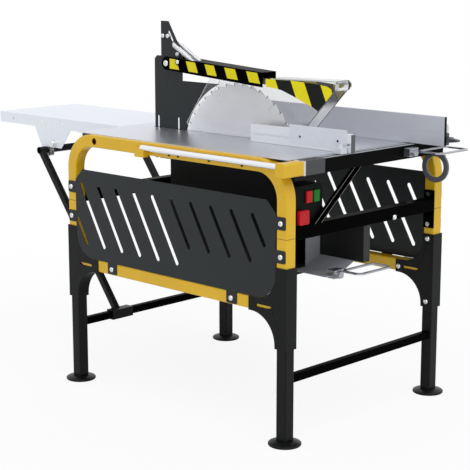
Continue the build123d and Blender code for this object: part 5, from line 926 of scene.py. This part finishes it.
@dataclass
class TubeFrame:
    """Bent tube rings with brackets, legs, feet, beams and sheet panels."""

    tube: float = 40.0
    tube_round: float = 4.2
    tube_segments: int = 4
    ring_x: float = 353.0
    post_y: float = 470.0
    seam_z: float = 622.0
    seam_wide: float = 1.4
    seam_out: float = 0.25
    screw_x: float = -374.0
    screw_y: tuple[float, ...] = (-313.0, -177.0, -43.0, -2.5)
    screw_z: float = 819.0
    screw_r: float = 4.0
    screw_head: float = 2.4
    screw_round: float = 0.8
    brace_foot: Pair = (-236.0, 654.0)
    brace_head: Pair = (-52.0, 806.0)
    brace_front: float = -492.0
    brace_fold_highlights: Pair = (-16.2, 12.6)
    fold_wide: float = 1.4
    fold_out: float = 0.25

    def dress(self) -> None:
        """Give the frame's nodes their finishes."""
        SHOP.dress(YELLOW, 0.8, "corner_stub", "slide_rail_lug")
        SHOP.dress(YELLOW, 0.0, "left_ring", "right_ring")
        SHOP.dress(CHARCOAL, 0.6, "left_panel", "right_panel")
        SHOP.dress(BLACK, 0.8, "front_left_leg_bracket", "front_right_leg_bracket",
                   "rear_left_leg_bracket", "rear_right_leg_bracket", "legs")
        SHOP.dress(FOOT_NYLON, 0.8, "feet")
        SHOP.dress(JET_WITH_PAINTED_SHADE, 0.8, "front_mid_beam", "rear_mid_beam", "diagonal_brace",
                   "lower_front_bar", "lower_rear_bar")
        SHOP.dress(EYE_ZINC, 0.8, "eye_plate")
        SHOP.dress(BRIGHT, 0.0, "frame_bolts")
        SHOP.dress(RAIL, 0.5, "front_rail")
        SHOP.dress(END_BLOCK, 0.5, "rail_end_block")
        SHOP.dress(CHROME, 0.0, "slide_rail")

    def build(self) -> None:
        """Paint shadow lines at the welds, screw the rail holders on and paint highlights on the brace's
        folds.
        """
        self.build_weld_shadows()
        self.build_screws()
        self.build_fold_highlights()

    def build_weld_shadows(self) -> None:
        """Paint the shadow lines of the welds around the rings' posts."""
        seams = bmesh.new()
        around = self.tube + 2 * self.seam_out
        for x in (-self.ring_x, self.ring_x):
            for y in (-self.post_y, self.post_y):
                place = Matrix.Translation(spot(x, y, self.seam_z))
                corners = add_block(seams, place, (around, around, self.seam_wide))
                edges = {edge for vert in corners for edge in vert.link_edges}
                upright = [edge for edge in edges
                           if abs(edge.verts[0].co.z - edge.verts[1].co.z) > metres(self.seam_wide / 2)]
                round_edges(seams, upright, self.tube_round, self.tube_segments)
        SHOP.piece("ring_weld_shadows", seams, Body.FRAME, WELD_SHADOW)

    def build_screws(self) -> None:
        """Screw the holders of the slide rail to the left ring."""
        screws = bmesh.new()
        for y in self.screw_y:
            place = spot(self.screw_x, y, self.screw_z)
            add_rod(screws, place, self.screw_r, self.screw_head, self.screw_round)
        SHOP.piece("rail_holder_screws", screws, Body.FRAME, BLACK)

    def build_fold_highlights(self) -> None:
        """Paint highlight lines along the folds of the slanted brace."""
        folds = bmesh.new()
        for fold in self.brace_fold_highlights:
            near, far = fold - self.fold_wide / 2, fold + self.fold_wide / 2
            outline = ((self.brace_foot, near), (self.brace_foot, far),
                       (self.brace_head, far), (self.brace_head, near))
            corners = [spot(x + shift, self.brace_front, z) for (x, z), shift in outline]
            add_plate(folds, corners, Vector((0, -metres(self.fold_out), 0)))
        SHOP.piece("brace_fold_highlights", folds, Body.FRAME, FOLD_HIGHLIGHT)


@dataclass
class BladeUnit:
    """Saw blade, flanges, motor, casing and chip chute."""

    teeth: int = 42
    radius: float = 250.0
    tip: Triple = (4.2, 9.0, 3.0)
    tip_back: float = 0.4
    tip_rise: float = 1.2
    case_left: float = -140.0
    skirt: tuple[Pair, ...] = (
        (-310.8, 452.0), (190.0, 452.0), (200.0, 462.0), (200.0, 504.0), (-310.8, 504.0))
    skirt_thick: float = 1.6
    riser: Triple = (-113.8, -310.0, 468.0)
    riser_size: Triple = (55.6, 1.6, 32.0)
    rivet_y: tuple[float, ...] = (-280.0, -54.0, 172.0)
    rivet_z: float = 492.0
    rivet_r: float = 4.0
    rivet_head: float = 2.0
    rivet_round: float = 2.0 / 3

    def dress(self) -> None:
        """Give the blade unit's nodes their finishes."""
        SHOP.dress(BLADE, 0.0, "saw_blade")
        SHOP.dress(BRIGHT, 0.8, "blade_flanges", "motor_rotor", "motor_bearings")
        SHOP.dress(BLACK, 0.6, "blade_casing", "casing_cover", "motor_bracket")
        SHOP.dress(CHUTE, 0.4, "chip_chute")
        SHOP.dress(MOTOR, 1.0, "motor_housing")
        SHOP.dress(BLACK_PLASTIC, 0.6, "fan_cover", "cooling_fan")

    def build(self) -> None:
        """Fit the casing's skirt and the blade's tips."""
        self.build_skirt()
        self.build_tips()

    def build_skirt(self) -> None:
        """Rivet a skirt to the foot of the casing's left wall and close it at the chute."""
        skirt = bmesh.new()
        add_plate(skirt, [spot(self.case_left, y, z) for y, z in self.skirt],
                  Vector((-metres(self.skirt_thick), 0, 0)))
        add_block(skirt, Matrix.Translation(spot(*self.riser)), self.riser_size)
        rivet_x = self.case_left - self.skirt_thick - self.rivet_head / 2
        for y in self.rivet_y:
            place = spot(rivet_x, y, self.rivet_z)
            add_rod(skirt, place, self.rivet_r, self.rivet_head, self.rivet_round)
        SHOP.piece("casing_skirt", skirt, Body.FRAME, BLACK)

    def build_tips(self) -> None:
        """Braze a carbide tip on every tooth."""
        tips = bmesh.new()
        out = self.radius - self.tip[1] / 2 - self.tip_back
        seat = Matrix.Translation((0, -metres(out), metres(self.tip_rise)))
        for number in range(self.teeth):
            turn = Matrix.Rotation(-2 * math.pi * number / self.teeth, 4, "X")
            add_block(tips, Matrix.Translation(ARBOR) @ turn @ seat, self.tip)
        SHOP.piece("carbide_tips", tips, Body.ROTOR, CARBIDE)


@dataclass
class TableTop:
    """Galvanised table and its outfeed extension on struts."""

    def dress(self) -> None:
        """Give the table's nodes their finishes."""
        SHOP.dress(TABLE_ZINC, 1.0, "table_top")
        SHOP.dress(EXTENSION_ZINC, 0.6, "extension_table")
        SHOP.dress(BRIGHT, 0.8, "tube_clamps")
        SHOP.dress(BLACK, 0.0, "extension_cross_bar")
        SHOP.dress(BLACK, 0.8, "extension_struts")


@dataclass
class Fences:
    """Rip fence and low fence."""

    rip_cap: Triple = (187.0, -628.6, 895.2)
    rip_cap_size: Triple = (10.0, 1.2, 89.4)
    low_cap: Triple = (-127.0, -526.6, 878.0)
    low_cap_size: Triple = (18.0, 1.2, 55.0)
    cap_round: float = 0.4
    socket_x: float = -141.2
    socket_y: Pair = (-479.0, -331.0)
    socket_z: float = 884.0
    socket_r: float = 3.4
    socket_deep: float = 0.6

    def dress(self) -> None:
        """Give the fences' nodes their finishes."""
        SHOP.dress(GREY_ALUMINIUM, 0.5, "rip_fence")
        SHOP.dress(GREY_PLASTIC, 0.8, "rip_bracket", "rip_lever")
        SHOP.dress(PALE_PLASTIC, 0.0, "rip_knob")
        SHOP.dress(ALUMINIUM, 0.5, "low_fence")
        SHOP.dress(PLATE_ZINC, 0.5, "low_fence_plate")

    def build(self) -> None:
        """Close the fences' front ends and lay black discs in the sockets of the plate's screws as
        painted shade of those recesses.
        """
        for name, place, size, body, finish in (
                ("rip_fence_cap", self.rip_cap, self.rip_cap_size, Body.RIP_FENCE, BLACK_PLASTIC),
                ("low_fence_cap", self.low_cap, self.low_cap_size, Body.LOW_FENCE, GREY_PLASTIC)):
            cap = bmesh.new()
            add_block(cap, Matrix.Translation(spot(*place)), size)
            round_edges(cap, list(cap.edges), self.cap_round)
            SHOP.piece(name, cap, body, finish)
        # Black discs in the screws' sockets: painted shade in the recesses.
        sockets = bmesh.new()
        for y in self.socket_y:
            add_rod(sockets, spot(self.socket_x, y, self.socket_z), self.socket_r, self.socket_deep)
        SHOP.piece("plate_screw_socket_shade", sockets, Body.LOW_FENCE, BLACK_PLASTIC)


@dataclass
class Controls:
    """Switch box with its buttons, and the hoops with their knobs."""

    def dress(self) -> None:
        """Give the controls' nodes their finishes."""
        SHOP.dress(BLACK_PLASTIC, 1.0, "switch_box", "plug_inlet")
        SHOP.dress(GREEN, 0.0, "green_button")
        SHOP.dress(RED, 0.0, "red_button", "stop_flap")
        SHOP.dress(HOOP_ZINC, 0.8, "upper_hoop", "lower_hoop")
        SHOP.dress(HOOP_ZINC, 0.6, "upper_hoop_knob", "lower_hoop_knob")


@dataclass
class Studio:
    """White floor, soft light and the camera of the photograph, in metres and degrees."""

    floor_half: float = 90.0
    fade: Pair = (0.9, 2.6)
    floor_white: float = 0.88
    paper: tuple[float, ...] = (0.93, 0.93, 0.93, 1.0)
    paper_roughness: float = 0.7
    paper_specular: float = 0.2
    white: tuple[float, ...] = (1.0, 1.0, 1.0, 1.0)
    sky: tuple[float, ...] = (0.96, 0.98, 1.0, 1.0)
    sky_strength: float = 0.62
    sun_strength: float = 1.15
    sun_angle: float = 55.0
    sun_aim: Triple = (0.35, 0.55, -1.0)
    eye: Triple = (-3.2174, -3.2992, 1.4139)
    turn: Triple = (78.563, 0.0, -45.767)
    lens_mm: float = 105.275
    sensor_mm: float = 36.0
    sight: float = 200.0

    def build_floor(self) -> None:
        """Lay the pale floor, which keeps the shadow near the saw and is white far away."""
        mesh = bmesh.new()
        bmesh.ops.create_grid(mesh, x_segments=1, y_segments=1, size=self.floor_half)
        data = bpy.data.meshes.new("studio_floor")
        mesh.to_mesh(data)
        mesh.free()
        floor = bpy.data.objects.new("studio_floor", data)
        bpy.context.scene.collection.objects.link(floor)
        material, tree, shader, place = open_material("studio_floor_paper")
        shader.inputs["Base Color"].default_value = self.paper
        shader.inputs["Roughness"].default_value = self.paper_roughness
        shader.inputs["Specular IOR Level"].default_value = self.paper_specular
        reach = add(tree, "VectorMath", {"operation": "LENGTH"}, {0: place})
        near, far = self.fade
        bright = add(tree, "MapRange", {"From Min": near, "From Max": far, "To Min": self.floor_white},
                     {"Value": reach.outputs["Value"]})
        rays = add(tree, "LightPath")
        seen = add(tree, "Math", {"operation": "MULTIPLY"},
                   {0: bright.outputs["Result"], 1: rays.outputs["Is Camera Ray"]})
        white = add(tree, "Emission", {"Color": self.white, "Strength": 1.0})
        blend = add(tree, "MixShader", {},
                    {0: seen.outputs["Value"], 1: shader.outputs["BSDF"], 2: white.outputs["Emission"]})
        tree.links.new(blend.outputs["Shader"], tree.nodes["Material Output"].inputs["Surface"])
        data.materials.append(material)

    def build_sky(self) -> None:
        """Set an even surround that is white where it is seen, mirrored or looked through."""
        world = bpy.data.worlds.new("studio_world")
        bpy.context.scene.world = world
        world.use_nodes = True
        tree = world.node_tree
        tree.nodes.clear()
        rays = add(tree, "LightPath")
        seen = rays.outputs["Is Camera Ray"]
        for kind in ("Is Glossy Ray", "Is Transmission Ray"):
            either = add(tree, "Math", {"operation": "MAXIMUM"}, {0: seen, 1: rays.outputs[kind]})
            seen = either.outputs["Value"]
        soft = add(tree, "Background", {"Color": self.sky, "Strength": self.sky_strength})
        white = add(tree, "Background", {"Color": self.white, "Strength": 1.0})
        blend = add(tree, "MixShader", {},
                    {0: seen, 1: soft.outputs["Background"], 2: white.outputs["Background"]})
        add(tree, "OutputWorld", {}, {"Surface": blend.outputs["Shader"]})

    def build_sun(self) -> None:
        """Hang one broad soft lamp."""
        lamp = bpy.data.lights.new("soft_sun", "SUN")
        lamp.energy = self.sun_strength
        lamp.angle = math.radians(self.sun_angle)
        sun = bpy.data.objects.new("soft_sun", lamp)
        bpy.context.scene.collection.objects.link(sun)
        sun.rotation_euler = Vector(self.sun_aim).to_track_quat("-Z", "Y").to_euler()

    def build_camera(self) -> None:
        """Stand the camera where the photograph was taken."""
        data = bpy.data.cameras.new("photo_camera")
        data.sensor_width = self.sensor_mm
        data.lens = self.lens_mm
        data.clip_end = self.sight
        camera = bpy.data.objects.new("photo_camera", data)
        bpy.context.scene.collection.objects.link(camera)
        camera.location = self.eye
        camera.rotation_euler = [math.radians(angle) for angle in self.turn]
        bpy.context.scene.camera = camera

    def build(self) -> None:
        """Set up the studio."""
        self.build_floor()
        self.build_sky()
        self.build_sun()
        self.build_camera()
        bpy.context.scene.view_settings.view_transform = "Standard"


def main() -> None:
    """Dress the saw piece by piece and set up the studio."""
    logging.basicConfig(level=logging.INFO, format="%(message)s")
    tubes, guard, blade, fences = TubeFrame(), Guard(), BladeUnit(), Fences()
    for assembly in (tubes, TableTop(), blade, guard, fences, Controls()):
        assembly.dress()
    for assembly in (tubes, guard, blade, fences, Studio()):
        assembly.build()


if __name__ == "__main__":
    main()
